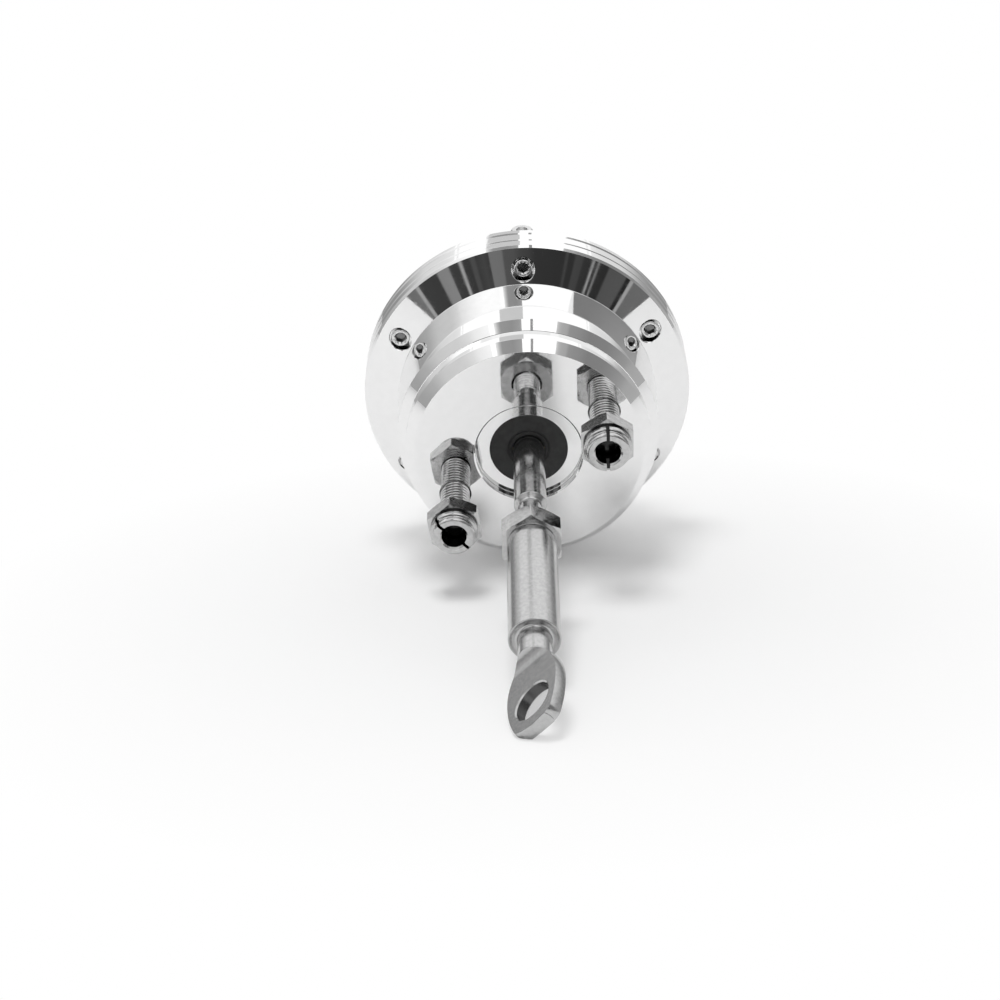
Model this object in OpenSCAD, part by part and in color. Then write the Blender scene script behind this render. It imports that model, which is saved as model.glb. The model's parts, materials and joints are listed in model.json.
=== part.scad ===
// Adjustable wastegate actuator: a turned and polished aluminium canister with a spring
// and rolling diaphragm inside, a push rod with a jam nut and a flat rod eye, and two
// mounting studs with slit lock nuts.
// The origin is the centre of the front mounting face. The rod points along -Y and +Z is up.
// Stations along the axis are distances in front of the mounting face, so what lies
// behind the face has a negative station.

/* [Flange stack] */
// Outside diameter of the three flange layers
flange_d = 68.8; // [66:0.1:72]
// Thickness of the housing's own flange
front_flange_t = 2.7; // [2.4:0.1:3.5]
// Thickness of the middle ring
ring_t = 3.3; // [2.5:0.1:4.5]
// Thickness of the rear cap's flange at its edge
cap_flange_t = 2.1; // [1.8:0.1:3]
// Chamfer on the rim edges
rim_chamfer = 0.45; // [0.2:0.05:0.6]

/* [Front housing] */
// Distance from the housing's flange to the mounting face
barrel_len = 24.7; // [24:0.1:27]
// Barrel diameter next to the flange
barrel_rear_d = 54.4; // [54:0.1:54.8]
// Barrel diameter at the front end of its taper
barrel_front_d = 53.4; // [53:0.1:53.8]
// How much the flange's conical face rises from its edge to the barrel
cone_rise = 3; // [2:0.1:4]
// Diameter of the stepped nose
nose_d = 50; // [49.6:0.1:50.4]
// Length of the straight part of the nose
nose_len = 3.5; // [3:0.1:4.2]
// Diameter of the flat mounting face
face_d = 46.1; // [45:0.1:47]
// Diameter of the round recess in the face
recess_d = 21.6; // [21:0.1:22.5]
// Depth of the round recess
recess_depth = 1.75; // [1.5:0.05:2]
// Inside diameter of the spring chamber
bore_d = 46.4; // [46:0.1:46.8]
// Thickness of the front wall
front_wall_t = 9.5; // [9.2:0.1:10.5]

/* [Cap screws] */
// Number of cap screws
screw_count = 6; // [4:1:8]
// Diameter of the circle that the screws stand on
screw_circle_d = 59.8; // [59.6:0.1:60.4]
// Diameter of a screw head
screw_head_d = 3.8; // [3.6:0.05:4]
// Height of a screw head
screw_head_h = 2; // [1.8:0.1:2.2]
// Width across flats of the hexagon socket
socket_af = 2; // [1.9:0.05:2.1]
// Diameter of a screw's shank
screw_d = 2.4; // [2.3:0.05:2.5]
// Length of a screw under its head
screw_len = 9.1; // [8.8:0.1:9.2]

/* [Studs and lock nuts] */
// Diameter of the circle that the two studs stand on
stud_circle_d = 35.5; // [34:0.1:36]
// Angle of the right stud above the horizontal
stud_angle = 30.65; // [28:0.05:32]
// Diameter of the stud threads
stud_d = 6; // [5.9:0.01:6]
// Free length of stud between the mounting face and its lock nut
clamp_gap = 9.85; // [8:0.05:10]
// Width across flats of a lock nut
lock_nut_af = 10; // [9.8:0.1:10.2]
// Length of a lock nut's hexagon
lock_nut_hex_len = 3.45; // [3.2:0.05:4]
// Length of a lock nut's slit collar
lock_nut_collar_len = 2.95; // [2.6:0.05:3.4]

/* [Rod] */
// Diameter of the push rod
rod_d = 6.35; // [6:0.05:6.5]
// Stroke of the rod
stroke = 12; // [6:0.5:12]
// Station of the jam nut's rear face
jam_nut_station = 29; // [28:0.1:32]
// Thickness of the jam nut
jam_nut_t = 4.6; // [4:0.1:5]
// Width across flats of the jam nut
jam_nut_af = 11.1; // [10.8:0.1:11.2]

/* [Rod end] */
// Diameter of the rod end's sleeve
sleeve_d = 9.4; // [9:0.1:10]
// Length of the sleeve
sleeve_len = 30.35; // [28:0.05:32]
// Diameter of the neck in front of the sleeve
neck_d = 6.1; // [5.8:0.1:6.3]
// Length of the neck
neck_len = 5.9; // [5.5:0.1:6.5]
// Largest diameter of the turned head, which is the width of the eye
eye_w = 11.9; // [11.5:0.1:12.5]
// Thickness of the eye between its milled flats
eye_t = 2.4; // [2.2:0.05:3]
// Diameter of the hole in the eye
eye_hole_d = 7.6; // [7:0.1:7.8]
// Distance from the end of the sleeve to the centre of the hole
eye_reach = 17.9; // [17:0.1:19]
// Distance from the centre of the hole to the tip of the eye
eye_end = 6.3; // [6:0.05:6.5]
// Radius that the milling cutter leaves where a flat runs out
run_out_r = 2.7; // [2:0.1:3]
// Angle of the eye's width above the horizontal
eye_angle = 44.3; // [0:0.1:180]

/* [Hidden] */
$fn = 96;

// Overshoot of a cutting tool
cut = 1;
// Radial clearance of threads, and of the rod in its bush
thread_gap = 0.03;
// Ratio of a hexagon's corner radius to half its width across flats
corner_ratio = 1 / cos(30);

// Stations of the flange stack, from the front to the rear
flange_front = -barrel_len;
flange_rear = flange_front - front_flange_t;
ring_rear = flange_rear - ring_t;
cap_edge_rear = ring_rear - cap_flange_t;
rim_r = flange_d / 2;
bore_r = bore_d / 2;
ring_bore_r = bore_r + 0.2;
screw_circle_r = screw_circle_d / 2;
screw_seat = flange_front - 0.7;

// Inner pieces of the housing's nose
hub_r = 11.5;
hub_clearance = 2.2;
inner_wall = -front_wall_t;
seal_r = 7.9;
seal_t = 2.8;
seal_rear = -recess_depth - seal_t;
bush_r = 5;
bush_front = seal_rear - 1;
bush_len = 6.4;
bush_rear = bush_front - bush_len;
circlip_t = 1;
circlip_groove_r = 5.5;

// Rear cap and the piston stack
screw_land_rear = -34.7;
screw_land_r = 32.9;
dome_r = 25;
dome_rear = -49.5;
dome_wall = 2.3;
chamber_r = 22;
diaphragm_t = 0.8;
diaphragm_flange_r = 27.6;
bead_inner_r = 25.6;
bead_outer_r = 27.4;
bead_depth = 0.9;
piston_front = -28;
piston_head_front = -35.5;
piston_head_rear = -38;
piston_r = 18.9;
piston_inner_r = 16.9;
hub_rear = piston_front + stroke + hub_clearance;
retainer_t = 1.5;
retainer_r = 16;
retainer_front = piston_head_rear - diaphragm_t;
retainer_rear = retainer_front - retainer_t;
stop_gap = 0.05;
washer_t = 0.9;
washer_rear = retainer_rear - washer_t;
piston_nut_t = 4;
piston_nut_af = 8;
piston_nut_rear = washer_rear - piston_nut_t;
rod_rear = piston_nut_rear - 1;
rod_tail_r = 2.5;

// Main spring
spring_wire_r = 1.25;
spring_mean_r = 14.2;
spring_turns = 4.8;
spring_dead_turns = 1;
seat_t = 0.8;
seat_rear = inner_wall - seat_t;
spring_gap = 0.03;

// Threads are plain cylinders at their effective radius where two threads meet
rod_thread_r = 2.88;
rod_thread_station = jam_nut_station - 0.8;
sleeve_rear = jam_nut_station + jam_nut_t + 0.05;
rod_front = sleeve_rear + 12.35;
sleeve_front = sleeve_rear + sleeve_len;
eye_station = sleeve_front + eye_reach;
eye_front = eye_station + eye_end;
neck_front = sleeve_front + neck_len;
flat_start = neck_front + 2.3;
stud_r = stud_d / 2;
stud_circle_r = stud_circle_d / 2;
stud_depth = 8;
stud_mouth = 0.6;
stud_thread_r = 2.675;
stud_front = clamp_gap + 2.5;
lock_nut_front = clamp_gap + lock_nut_hex_len + lock_nut_collar_len;
lock_nut_mouth_r = 2.475;
lock_nut_mouth_station = stud_front + 0.2;
slit_w = 0.75;
slit_depth = 2.3;

// Hose nipple on the rear cap
nipple_station = -38.5;
nipple_seat = 24.4;
nipple_seal_t = 0.7;
nipple_hex_t = 2.8;
nipple_af = 7;
nipple_tip = 31.9;
nipple_land_r = 2.5;
nipple_land_len = 1.6;
nipple_bore_r = 1.2;
nipple_thread_r = 2.5;

// Points of an arc, from one angle to another, about a centre
function arc(centre, r, from, to, steps = 8) =
    [for (i = [0:steps]) let (a = from + (to - from) * i / steps)
        centre + r * [cos(a), sin(a)]];

// Puts a shape drawn along +Z onto the actuator's axis, with its +Z pointing forward
module on_axis() {
    rotate([90, 0, 0]) children();
}

// A turned part on the actuator's axis, from points of radius and station
module turned(points) {
    on_axis() rotate_extrude() polygon(points);
}

// A plain hole or pin along the axis, from one station to another
module round_bar(r, rear, front) {
    translate([0, 0, rear]) cylinder(r = r, h = front - rear);
}

// A hexagon bar with a corner at the top
module hex_bar(af, rear, front) {
    translate([0, 0, rear]) rotate(30) cylinder(r = af / 2 * corner_ratio, h = front - rear, $fn = 6);
}

// The cone-faced envelope that gives a nut or bolt head its chamfered corners
module nut_chamfer(af, rear, front, rear_cut, front_cut) {
    corner_r = af / 2 * corner_ratio;
    rotate_extrude() polygon([[0, rear], [corner_r - rear_cut, rear],
        [corner_r + 0.2, rear + (rear_cut + 0.2) * tan(30)],
        [corner_r + 0.2, front - (front_cut + 0.2) * tan(30)],
        [corner_r - front_cut, front], [0, front]]);
}

// Repeats its children at every cap screw
module at_screws() {
    for (i = [0:screw_count - 1]) {
        on_axis() rotate(90 + i * 360 / screw_count) translate([screw_circle_r, 0, 0]) children();
    }
}

// Puts its children on one of the two studs
module at_stud(angle) {
    on_axis() rotate(angle) translate([stud_circle_r, 0, 0]) rotate(-angle) children();
}

module front_housing() {
    nose_front = -(nose_d - face_d) / 2;
    nose_rear = nose_front - nose_len;
    taper_front = nose_rear - (barrel_front_d - nose_d) / 2;
    line_w = 0.35;
    line_depth = 0.3;
    recess_chamfer = 0.3;
    spot_r = screw_head_d / 2 + 0.42;
    vent_r = 1.25;
    vent_station = -16;
    color("gainsboro") difference() {
        turned([
            [bore_r, flange_rear],
            [rim_r - 0.2, flange_rear],
            [rim_r, flange_rear + 0.2],
            [rim_r, flange_front - rim_chamfer],
            [rim_r - rim_chamfer, flange_front],
            [barrel_rear_d / 2, flange_front + cone_rise],
            [barrel_front_d / 2, taper_front],
            [nose_d / 2, nose_rear],
            [nose_d / 2 - line_depth, nose_rear + 0.1],
            [nose_d / 2 - line_depth, nose_rear + line_w],
            [nose_d / 2, nose_rear + line_w + 0.1],
            [nose_d / 2, nose_front],
            [face_d / 2, 0],
            [recess_d / 2 + recess_chamfer, 0],
            [recess_d / 2, -recess_chamfer],
            [recess_d / 2, -recess_depth],
            [seal_r, -recess_depth],
            [seal_r, seal_rear],
            [rod_d / 2 + 0.6, seal_rear],
            [rod_d / 2 + 0.6, bush_front],
            [bush_r, bush_front],
            [bush_r, bush_rear],
            [circlip_groove_r, bush_rear],
            [circlip_groove_r, bush_rear - circlip_t],
            [bush_r + 0.1, bush_rear - circlip_t],
            [bush_r + 0.1, hub_rear],
            [hub_r - 0.5, hub_rear],
            [hub_r, hub_rear + 0.5],
            [hub_r, inner_wall],
            [bore_r - 1.5, inner_wall],
            [bore_r, inner_wall - 1.5]
        ]);
        for (angle = [stud_angle, stud_angle + 180]) {
            at_stud(angle) {
                round_bar(stud_thread_r + 0.02, -stud_depth, cut);
                translate([0, 0, -stud_mouth]) cylinder(r1 = stud_thread_r + 0.02,
                    r2 = stud_thread_r + 0.02 + stud_mouth + cut, h = stud_mouth + cut);
            }
        }
        at_screws() {
            round_bar(screw_d / 2 + 0.15, flange_rear - cut, flange_front);
            round_bar(spot_r, screw_seat, flange_front + cone_rise + cut);
        }
        translate([0, -vent_station, -rim_r]) cylinder(r = vent_r, h = rim_r - bore_r + cut);
    }
}

module diaphragm_ring() {
    color("silver") difference() {
        turned([
            [ring_bore_r, ring_rear],
            [rim_r - rim_chamfer, ring_rear],
            [rim_r, ring_rear + rim_chamfer],
            [rim_r, flange_rear - rim_chamfer],
            [rim_r - rim_chamfer, flange_rear],
            [ring_bore_r, flange_rear]
        ]);
        at_screws() round_bar(screw_d / 2 + 0.15, ring_rear - cut, flange_rear + cut);
    }
}

module rear_cap() {
    dome_corner = 4;
    inner_corner = 2.5;
    dome_floor = dome_rear + dome_wall;
    stop_outer_r = 12;
    stop_inner_r = 9;
    seat_floor = ring_rear - diaphragm_t;
    bead_floor = seat_floor - bead_depth;
    spot_r = 4.3;
    color("gainsboro") difference() {
        turned(concat(
            [
                [diaphragm_flange_r + 0.1, ring_rear],
                [rim_r - rim_chamfer, ring_rear],
                [rim_r, ring_rear - rim_chamfer],
                [rim_r, cap_edge_rear + rim_chamfer],
                [rim_r - rim_chamfer, cap_edge_rear],
                [screw_land_r, cap_edge_rear],
                [screw_land_r - 0.3, screw_land_rear],
                [dome_r + 1, screw_land_rear]
            ],
            arc([dome_r + 1, screw_land_rear - 1], 1, 90, 180, 4),
            arc([dome_r - dome_corner, dome_rear + dome_corner], dome_corner, 0, -90),
            [[0, dome_rear], [0, dome_floor], [stop_inner_r, dome_floor],
                [stop_inner_r, retainer_rear - stop_gap], [stop_outer_r, retainer_rear - stop_gap],
                [stop_outer_r, dome_floor]],
            arc([chamber_r - inner_corner, dome_floor + inner_corner], inner_corner, -90, 0),
            [[chamber_r, seat_floor], [bead_inner_r - 0.02, seat_floor],
                [bead_inner_r - 0.02, bead_floor - 0.02], [bead_outer_r + 0.02, bead_floor - 0.02],
                [bead_outer_r + 0.02, seat_floor],
                [diaphragm_flange_r + 0.1, seat_floor]]
        ));
        at_screws() round_bar(screw_d / 2 + 0.02, screw_land_rear - cut, ring_rear + cut);
        translate([0, -nipple_station, 0]) {
            cylinder(r = nipple_thread_r, h = nipple_seat + cut);
            translate([0, 0, nipple_seat]) cylinder(r = spot_r, h = 12);
        }
    }
}

module cap_screws() {
    head_round = 0.35;
    socket_depth = 1;
    tip = screw_seat - screw_len;
    head_front = screw_seat + screw_head_h;
    color("dimgray") at_screws() difference() {
        rotate_extrude() polygon(concat(
            [[0, tip], [screw_d / 2 - 0.3, tip], [screw_d / 2, tip + 0.3], [screw_d / 2, screw_seat],
                [screw_head_d / 2, screw_seat]],
            arc([screw_head_d / 2 - head_round, head_front - head_round], head_round, 0, 90, 4),
            [[0, head_front]]
        ));
        hex_bar(socket_af, head_front - socket_depth, head_front + cut);
        translate([0, 0, head_front - 0.4])
            cylinder(r1 = socket_af / 2 - 0.1, r2 = socket_af / 2 + 0.6, h = 0.7);
    }
}

module diaphragm() {
    inner_r = piston_r + 0.05;
    outer_r = bore_r - 0.1;
    middle_r = (inner_r + outer_r) / 2;
    loop_r = (outer_r - inner_r) / 2;
    loop_station = piston_front;
    flange_rear_face = ring_rear - diaphragm_t;
    head_round = 1.2;
    color("#2b2b2b") turned(concat(
        [[rod_tail_r + 0.1, retainer_front]],
        arc([inner_r + diaphragm_t - head_round, retainer_front + head_round], head_round, -90, 0, 4),
        arc([middle_r, loop_station], loop_r - diaphragm_t, 180, 0, 10),
        [[outer_r - diaphragm_t, flange_rear_face], [bead_inner_r, flange_rear_face],
            [bead_inner_r, flange_rear_face - bead_depth], [bead_outer_r, flange_rear_face - bead_depth],
            [bead_outer_r, flange_rear_face], [diaphragm_flange_r, flange_rear_face],
            [diaphragm_flange_r, ring_rear], [outer_r, ring_rear]],
        arc([middle_r, loop_station], loop_r, 0, 180, 12),
        [[inner_r, piston_head_rear], [rod_tail_r + 0.1, piston_head_rear]]
    ));
}

module piston() {
    corner = 1;
    color("lightgray") turned(concat(
        [[rod_tail_r + 0.02, piston_head_rear]],
        arc([piston_r - corner, piston_head_rear + corner], corner, -90, 0, 4),
        [[piston_r, piston_front], [piston_inner_r, piston_front],
            [piston_inner_r, piston_head_front + corner], [piston_inner_r - corner, piston_head_front],
            [rod_tail_r + 0.02, piston_head_front]]
    ));
}

module retainer_plate() {
    lip = 0.7;
    color("silver") turned([
        [rod_tail_r + 0.02, retainer_rear],
        [retainer_r - lip, retainer_rear],
        [retainer_r, retainer_rear + lip],
        [retainer_r, retainer_front],
        [rod_tail_r + 0.02, retainer_front]
    ]);
}

module piston_washer() {
    color("silver") turned([
        [rod_tail_r + 0.1, washer_rear],
        [5, washer_rear],
        [5, retainer_rear],
        [rod_tail_r + 0.1, retainer_rear]
    ]);
}

module piston_nut() {
    color("darkgray") on_axis() difference() {
        intersection() {
            hex_bar(piston_nut_af, piston_nut_rear, washer_rear);
            nut_chamfer(piston_nut_af, piston_nut_rear, washer_rear, 0.6, 0.1);
        }
        round_bar(rod_tail_r + 0.02, piston_nut_rear - cut, washer_rear + cut);
    }
}

// The wire's centre follows a helix whose pitch eases in and out of the closed end turns
module main_spring() {
    steps = 22;
    sides = 10;
    rear = piston_head_front + spring_gap;
    front = seat_rear - spring_gap;
    rise = front - rear - 1.1 * spring_wire_r;
    live = spring_turns - 2 * spring_dead_turns;
    count = round(spring_turns * steps);
    ramp = function (turn) max(0, min(1, (turn - spring_dead_turns) / live));
    lift = function (turn) 2 * spring_wire_r * 0.45 * (min(turn, spring_dead_turns)
        + max(0, turn - spring_turns + spring_dead_turns));
    climb = rise - lift(spring_turns);
    height = function (turn) rear + 0.55 * spring_wire_r + lift(turn)
        + climb * (ramp(turn) - 0.06 * sin(360 * ramp(turn)));
    points = [for (i = [0:count], k = [0:sides - 1]) let (
        turn = i / steps,
        a = 360 * turn,
        b = 360 * k / sides,
        r = spring_mean_r + spring_wire_r * cos(b)
    ) [r * cos(a), r * sin(a), height(turn) + spring_wire_r * sin(b)]];
    walls = [for (i = [0:count - 1], k = [0:sides - 1]) let (n = (k + 1) % sides)
        each [[i * sides + k, (i + 1) * sides + k, (i + 1) * sides + n],
            [i * sides + k, (i + 1) * sides + n, i * sides + n]]];
    start = [for (k = [0:sides - 1]) k];
    end = [for (k = [sides - 1:-1:0]) count * sides + k];
    color("slategray") on_axis() intersection() {
        polyhedron(points, concat(walls, [start, end]));
        round_bar(spring_mean_r + 2 * spring_wire_r, rear, front);
    }
}

module spring_seat() {
    color("darkgray") turned([
        [hub_r + 0.05, seat_rear],
        [spring_mean_r + spring_wire_r + 1, seat_rear],
        [spring_mean_r + spring_wire_r + 1, inner_wall],
        [hub_r + 0.05, inner_wall]
    ]);
}

module rod_bush() {
    color("darkgoldenrod") turned([
        [rod_d / 2 + thread_gap, bush_rear],
        [bush_r, bush_rear],
        [bush_r, bush_front],
        [rod_d / 2 + thread_gap + 0.2, bush_front],
        [rod_d / 2 + thread_gap, bush_front - 0.2]
    ]);
}

module bush_circlip() {
    inner = 4.2;
    gap_w = 2.4;
    color("dimgray") difference() {
        turned([
            [inner, bush_rear - circlip_t],
            [circlip_groove_r, bush_rear - circlip_t],
            [circlip_groove_r, bush_rear],
            [inner, bush_rear]
        ]);
        translate([-gap_w / 2, -bush_rear - cut, -circlip_groove_r - cut])
            cube([gap_w, circlip_t + 2 * cut, circlip_groove_r]);
    }
}

module dust_seal() {
    lip_r = rod_d / 2 + 0.04;
    color("#1c1c1c") turned([
        [lip_r + 0.9, seal_rear],
        [seal_r, seal_rear],
        [seal_r, -recess_depth - 0.15],
        [seal_r - 0.15, -recess_depth],
        [lip_r + 0.9, -recess_depth],
        [lip_r + 0.45, -recess_depth - 0.3],
        [lip_r + 0.25, -recess_depth + 0.1],
        [lip_r, -recess_depth - 0.1],
        [lip_r, -recess_depth - 0.6],
        [lip_r + 0.5, -recess_depth - 1.3]
    ]);
}

module actuator_rod() {
    shoulder = piston_head_front;
    color("silver") turned([
        [0, rod_rear],
        [rod_tail_r - 0.4, rod_rear],
        [rod_tail_r, rod_rear + 0.4],
        [rod_tail_r, shoulder],
        [rod_d / 2, shoulder],
        [rod_d / 2, rod_thread_station - 0.5],
        [rod_thread_r, rod_thread_station],
        [rod_thread_r, rod_front - 0.5],
        [rod_thread_r - 0.5, rod_front],
        [0, rod_front]
    ]);
}

module jam_nut() {
    front = jam_nut_station + jam_nut_t;
    bore = rod_thread_r + thread_gap;
    color("silver") on_axis() difference() {
        intersection() {
            hex_bar(jam_nut_af, jam_nut_station, front);
            nut_chamfer(jam_nut_af, jam_nut_station, front, 0.75, 0.75);
        }
        round_bar(bore, jam_nut_station - cut, front + cut);
        translate([0, 0, jam_nut_station - 0.01]) cylinder(r1 = bore + 0.4, r2 = bore, h = 0.4);
        translate([0, 0, front - 0.39]) cylinder(r1 = bore, r2 = bore + 0.4, h = 0.4);
    }
}

// Outline of the turned head: it swells from the neck, narrows a little, and ends in a low dome
function head_profile() =
    let (
        widest = neck_front + 8.4,
        swell = eye_w / 2 - neck_d / 2,
        swell_len = widest - neck_front,
        rear_r = (swell_len * swell_len + swell * swell) / (2 * swell),
        rear_angle = asin(swell_len / rear_r),
        front_r = 24,
        front_angle = asin((eye_front - 1.5 - widest) / front_r),
        edge = eye_w / 2 - front_r * (1 - cos(front_angle))
    )
    concat(
        arc([eye_w / 2 - rear_r, widest], rear_r, -rear_angle, 0, 10),
        [for (i = [1:6]) [eye_w / 2 - front_r, widest] + front_r
            * [cos(front_angle * i / 6), sin(front_angle * i / 6)]],
        arc([edge - 0.9, eye_front - 1.4], 0.9, 10, 70, 4),
        [[edge - 2.2, eye_front - 0.2], [0, eye_front]]
    );

// The milling cutter's path over one flat: it leaves a flat face with a round run-out at the neck
module flat_cut() {
    clear = eye_w;
    translate([-clear, 0, 0]) rotate([90, 0, 90]) linear_extrude(2 * clear) polygon(concat(
        [[clear, eye_front + cut], [eye_t / 2, eye_front + cut]],
        [for (i = [0:8]) [eye_t / 2 + run_out_r, flat_start]
            - run_out_r * [cos(90 * i / 8), sin(90 * i / 8)]],
        [[clear, flat_start - run_out_r]]
    ));
}

module rod_end() {
    edge = 0.35;
    dish = 0.9;
    bore = rod_thread_r + thread_gap;
    hole_r = eye_hole_d / 2;
    hole_edge = 0.25;
    color("darkgray") on_axis() difference() {
        rotate_extrude() polygon(concat(
            [[0, sleeve_rear], [sleeve_d / 2 - edge, sleeve_rear], [sleeve_d / 2, sleeve_rear + edge]],
            arc([sleeve_d / 2 - edge, sleeve_front - edge], edge, 0, 90, 4),
            [for (i = [0:6]) [neck_d / 2 + dish, sleeve_front + dish - 0.3]
                - dish * [sin(90 * i / 6), cos(90 * i / 6)]],
            head_profile()
        ));
        round_bar(bore, sleeve_rear - cut, rod_front + 2);
        translate([0, 0, sleeve_rear - 0.01]) cylinder(r1 = bore + 0.5, r2 = bore, h = 0.5);
        rotate(eye_angle) {
            flat_cut();
            mirror([0, 1, 0]) flat_cut();
            translate([0, 0, eye_station]) rotate([90, 0, 0]) {
                cylinder(r = hole_r, h = 2 * eye_t, center = true);
                for (side = [0, 1]) {
                    mirror([0, 0, side]) translate([0, 0, eye_t / 2 - hole_edge])
                        cylinder(r1 = hole_r, r2 = hole_r + hole_edge + cut, h = hole_edge + cut);
                }
            }
        }
    }
}

module stud(angle) {
    color("silver") at_stud(angle) rotate_extrude() polygon([
        [0, -stud_depth],
        [stud_thread_r - 0.5, -stud_depth],
        [stud_thread_r, -stud_depth + 0.5],
        [stud_thread_r, -0.4],
        [stud_r, 0],
        [stud_r, clamp_gap - 0.35],
        [stud_thread_r, clamp_gap],
        [stud_thread_r, stud_front - 0.6],
        [stud_thread_r - 0.6, stud_front],
        [0, stud_front]
    ]);
}

// A hexagon nut whose collar is slit across and pressed in a little, so that it grips
module lock_nut(angle, turn, slit_turn) {
    hex_front = clamp_gap + lock_nut_hex_len;
    shoulder_r = 4.7;
    lip_r = 4.2;
    bore = stud_thread_r + thread_gap;
    color("darkgray") at_stud(angle) difference() {
        union() {
            intersection() {
                rotate(turn) hex_bar(lock_nut_af, clamp_gap, hex_front);
                nut_chamfer(lock_nut_af, clamp_gap, hex_front, 0.7, 0.7);
            }
            rotate_extrude() polygon(concat(
                [[0, hex_front - 0.5], [shoulder_r, hex_front - 0.5], [shoulder_r, hex_front + 0.9]],
                arc([shoulder_r - 0.9, hex_front + 0.9], 0.9, 0, 60, 4),
                [[lip_r, hex_front + 1.9]],
                arc([lip_r - 0.6, lock_nut_front - 0.6], 0.6, 0, 90, 4),
                [[0, lock_nut_front]]
            ));
        }
        round_bar(bore, clamp_gap - cut, lock_nut_mouth_station);
        translate([0, 0, clamp_gap - 0.01]) cylinder(r1 = bore + 0.6, r2 = bore, h = 0.6);
        round_bar(lock_nut_mouth_r, clamp_gap, lock_nut_front + cut);
        translate([0, 0, lock_nut_front - 0.3])
            cylinder(r1 = lock_nut_mouth_r, r2 = lock_nut_mouth_r + 0.4, h = 0.4);
        rotate(slit_turn) translate([-shoulder_r - cut, -slit_w / 2, lock_nut_front - slit_depth])
            cube([2 * (shoulder_r + cut), slit_w, slit_depth + cut]);
    }
}

// Draws its children on the nipple's own axis, which stands straight up on the rear cap
module on_nipple() {
    translate([0, -nipple_station, 0]) children();
}

module hose_nipple() {
    hex_rear = nipple_seat + nipple_seal_t;
    hex_front = hex_rear + nipple_hex_t;
    stem_r = 2;
    land_rear = nipple_tip - 0.7 - nipple_land_len;
    color("silver") on_nipple() difference() {
        union() {
            intersection() {
                rotate(30) hex_bar(nipple_af, hex_rear, hex_front);
                nut_chamfer(nipple_af, hex_rear, hex_front, 0.1, 0.5);
            }
            rotate_extrude() polygon([
                [0, chamber_r + 0.2],
                [nipple_thread_r - 0.02, chamber_r + 0.2],
                [nipple_thread_r - 0.02, hex_rear + 0.1],
                [stem_r, hex_rear + 0.1],
                [stem_r, land_rear - 0.1],
                [nipple_land_r, land_rear],
                [nipple_land_r, land_rear + nipple_land_len],
                [stem_r, nipple_tip],
                [0, nipple_tip]
            ]);
        }
        round_bar(nipple_bore_r, chamber_r - cut, nipple_tip + cut);
    }
}

module nipple_seal() {
    color("#1c1c1c") on_nipple() difference() {
        round_bar(nipple_af / 2, nipple_seat, nipple_seat + nipple_seal_t);
        round_bar(nipple_thread_r, nipple_seat - cut, nipple_seat + nipple_seal_t + cut);
    }
}

front_housing();
diaphragm_ring();
rear_cap();
cap_screws();
diaphragm();
piston();
retainer_plate();
piston_washer();
piston_nut();
main_spring();
spring_seat();
rod_bush();
bush_circlip();
dust_seal();
actuator_rod();
jam_nut();
rod_end();
stud(stud_angle);  // stud_right
stud(stud_angle + 180);  // stud_left
lock_nut(stud_angle, 0, 90);  // lock_nut_right
lock_nut(stud_angle + 180, 8, 137);  // lock_nut_left
hose_nipple();
nipple_seal();
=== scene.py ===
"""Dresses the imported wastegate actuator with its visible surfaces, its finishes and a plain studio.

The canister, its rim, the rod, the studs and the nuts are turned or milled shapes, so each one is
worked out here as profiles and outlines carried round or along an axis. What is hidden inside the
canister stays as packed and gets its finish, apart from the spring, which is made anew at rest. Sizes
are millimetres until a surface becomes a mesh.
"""

from __future__ import annotations

import json
import logging
import math
from contextlib import contextmanager
from dataclasses import dataclass, field
from enum import Enum
from typing import Iterator, NamedTuple, Sequence

import bpy
import numpy as np
from mathutils import Matrix, Vector

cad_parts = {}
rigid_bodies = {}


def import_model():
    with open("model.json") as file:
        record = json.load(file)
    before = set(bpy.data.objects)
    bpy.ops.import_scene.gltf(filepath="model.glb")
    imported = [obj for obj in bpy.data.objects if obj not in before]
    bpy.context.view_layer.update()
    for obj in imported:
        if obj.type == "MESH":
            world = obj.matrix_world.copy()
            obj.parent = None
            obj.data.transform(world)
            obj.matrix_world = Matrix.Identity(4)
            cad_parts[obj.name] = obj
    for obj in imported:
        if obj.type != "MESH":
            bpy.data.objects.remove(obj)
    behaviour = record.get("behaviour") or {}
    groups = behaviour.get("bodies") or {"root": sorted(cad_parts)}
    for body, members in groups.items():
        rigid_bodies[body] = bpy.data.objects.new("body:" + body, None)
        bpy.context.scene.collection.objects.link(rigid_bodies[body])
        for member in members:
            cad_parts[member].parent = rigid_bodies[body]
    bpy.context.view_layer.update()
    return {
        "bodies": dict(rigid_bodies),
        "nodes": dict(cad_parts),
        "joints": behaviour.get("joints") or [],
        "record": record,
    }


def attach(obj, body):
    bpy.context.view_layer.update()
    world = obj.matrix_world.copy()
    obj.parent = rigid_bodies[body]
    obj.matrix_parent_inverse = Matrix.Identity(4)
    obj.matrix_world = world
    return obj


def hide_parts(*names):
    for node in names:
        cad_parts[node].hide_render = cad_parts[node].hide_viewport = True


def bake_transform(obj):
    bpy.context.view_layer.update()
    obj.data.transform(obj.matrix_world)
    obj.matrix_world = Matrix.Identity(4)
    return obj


LOG = logging.getLogger("actuator")
MM = 0.001
WELD = 1e-7
FULL_TURN = 2 * math.pi
# Name of the mesh attribute that carries painted shade for hollows.
PAINTED_SHADE_ATTRIBUTE = "painted_shade"

Array = np.ndarray
Tones = tuple[tuple[float, float], ...]
Corners = Sequence[tuple[float, float, float]]

FORWARD = np.array([0.0, 0.0, 1.0])
WHITE = (1.0, 1.0, 1.0, 1.0)


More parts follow.
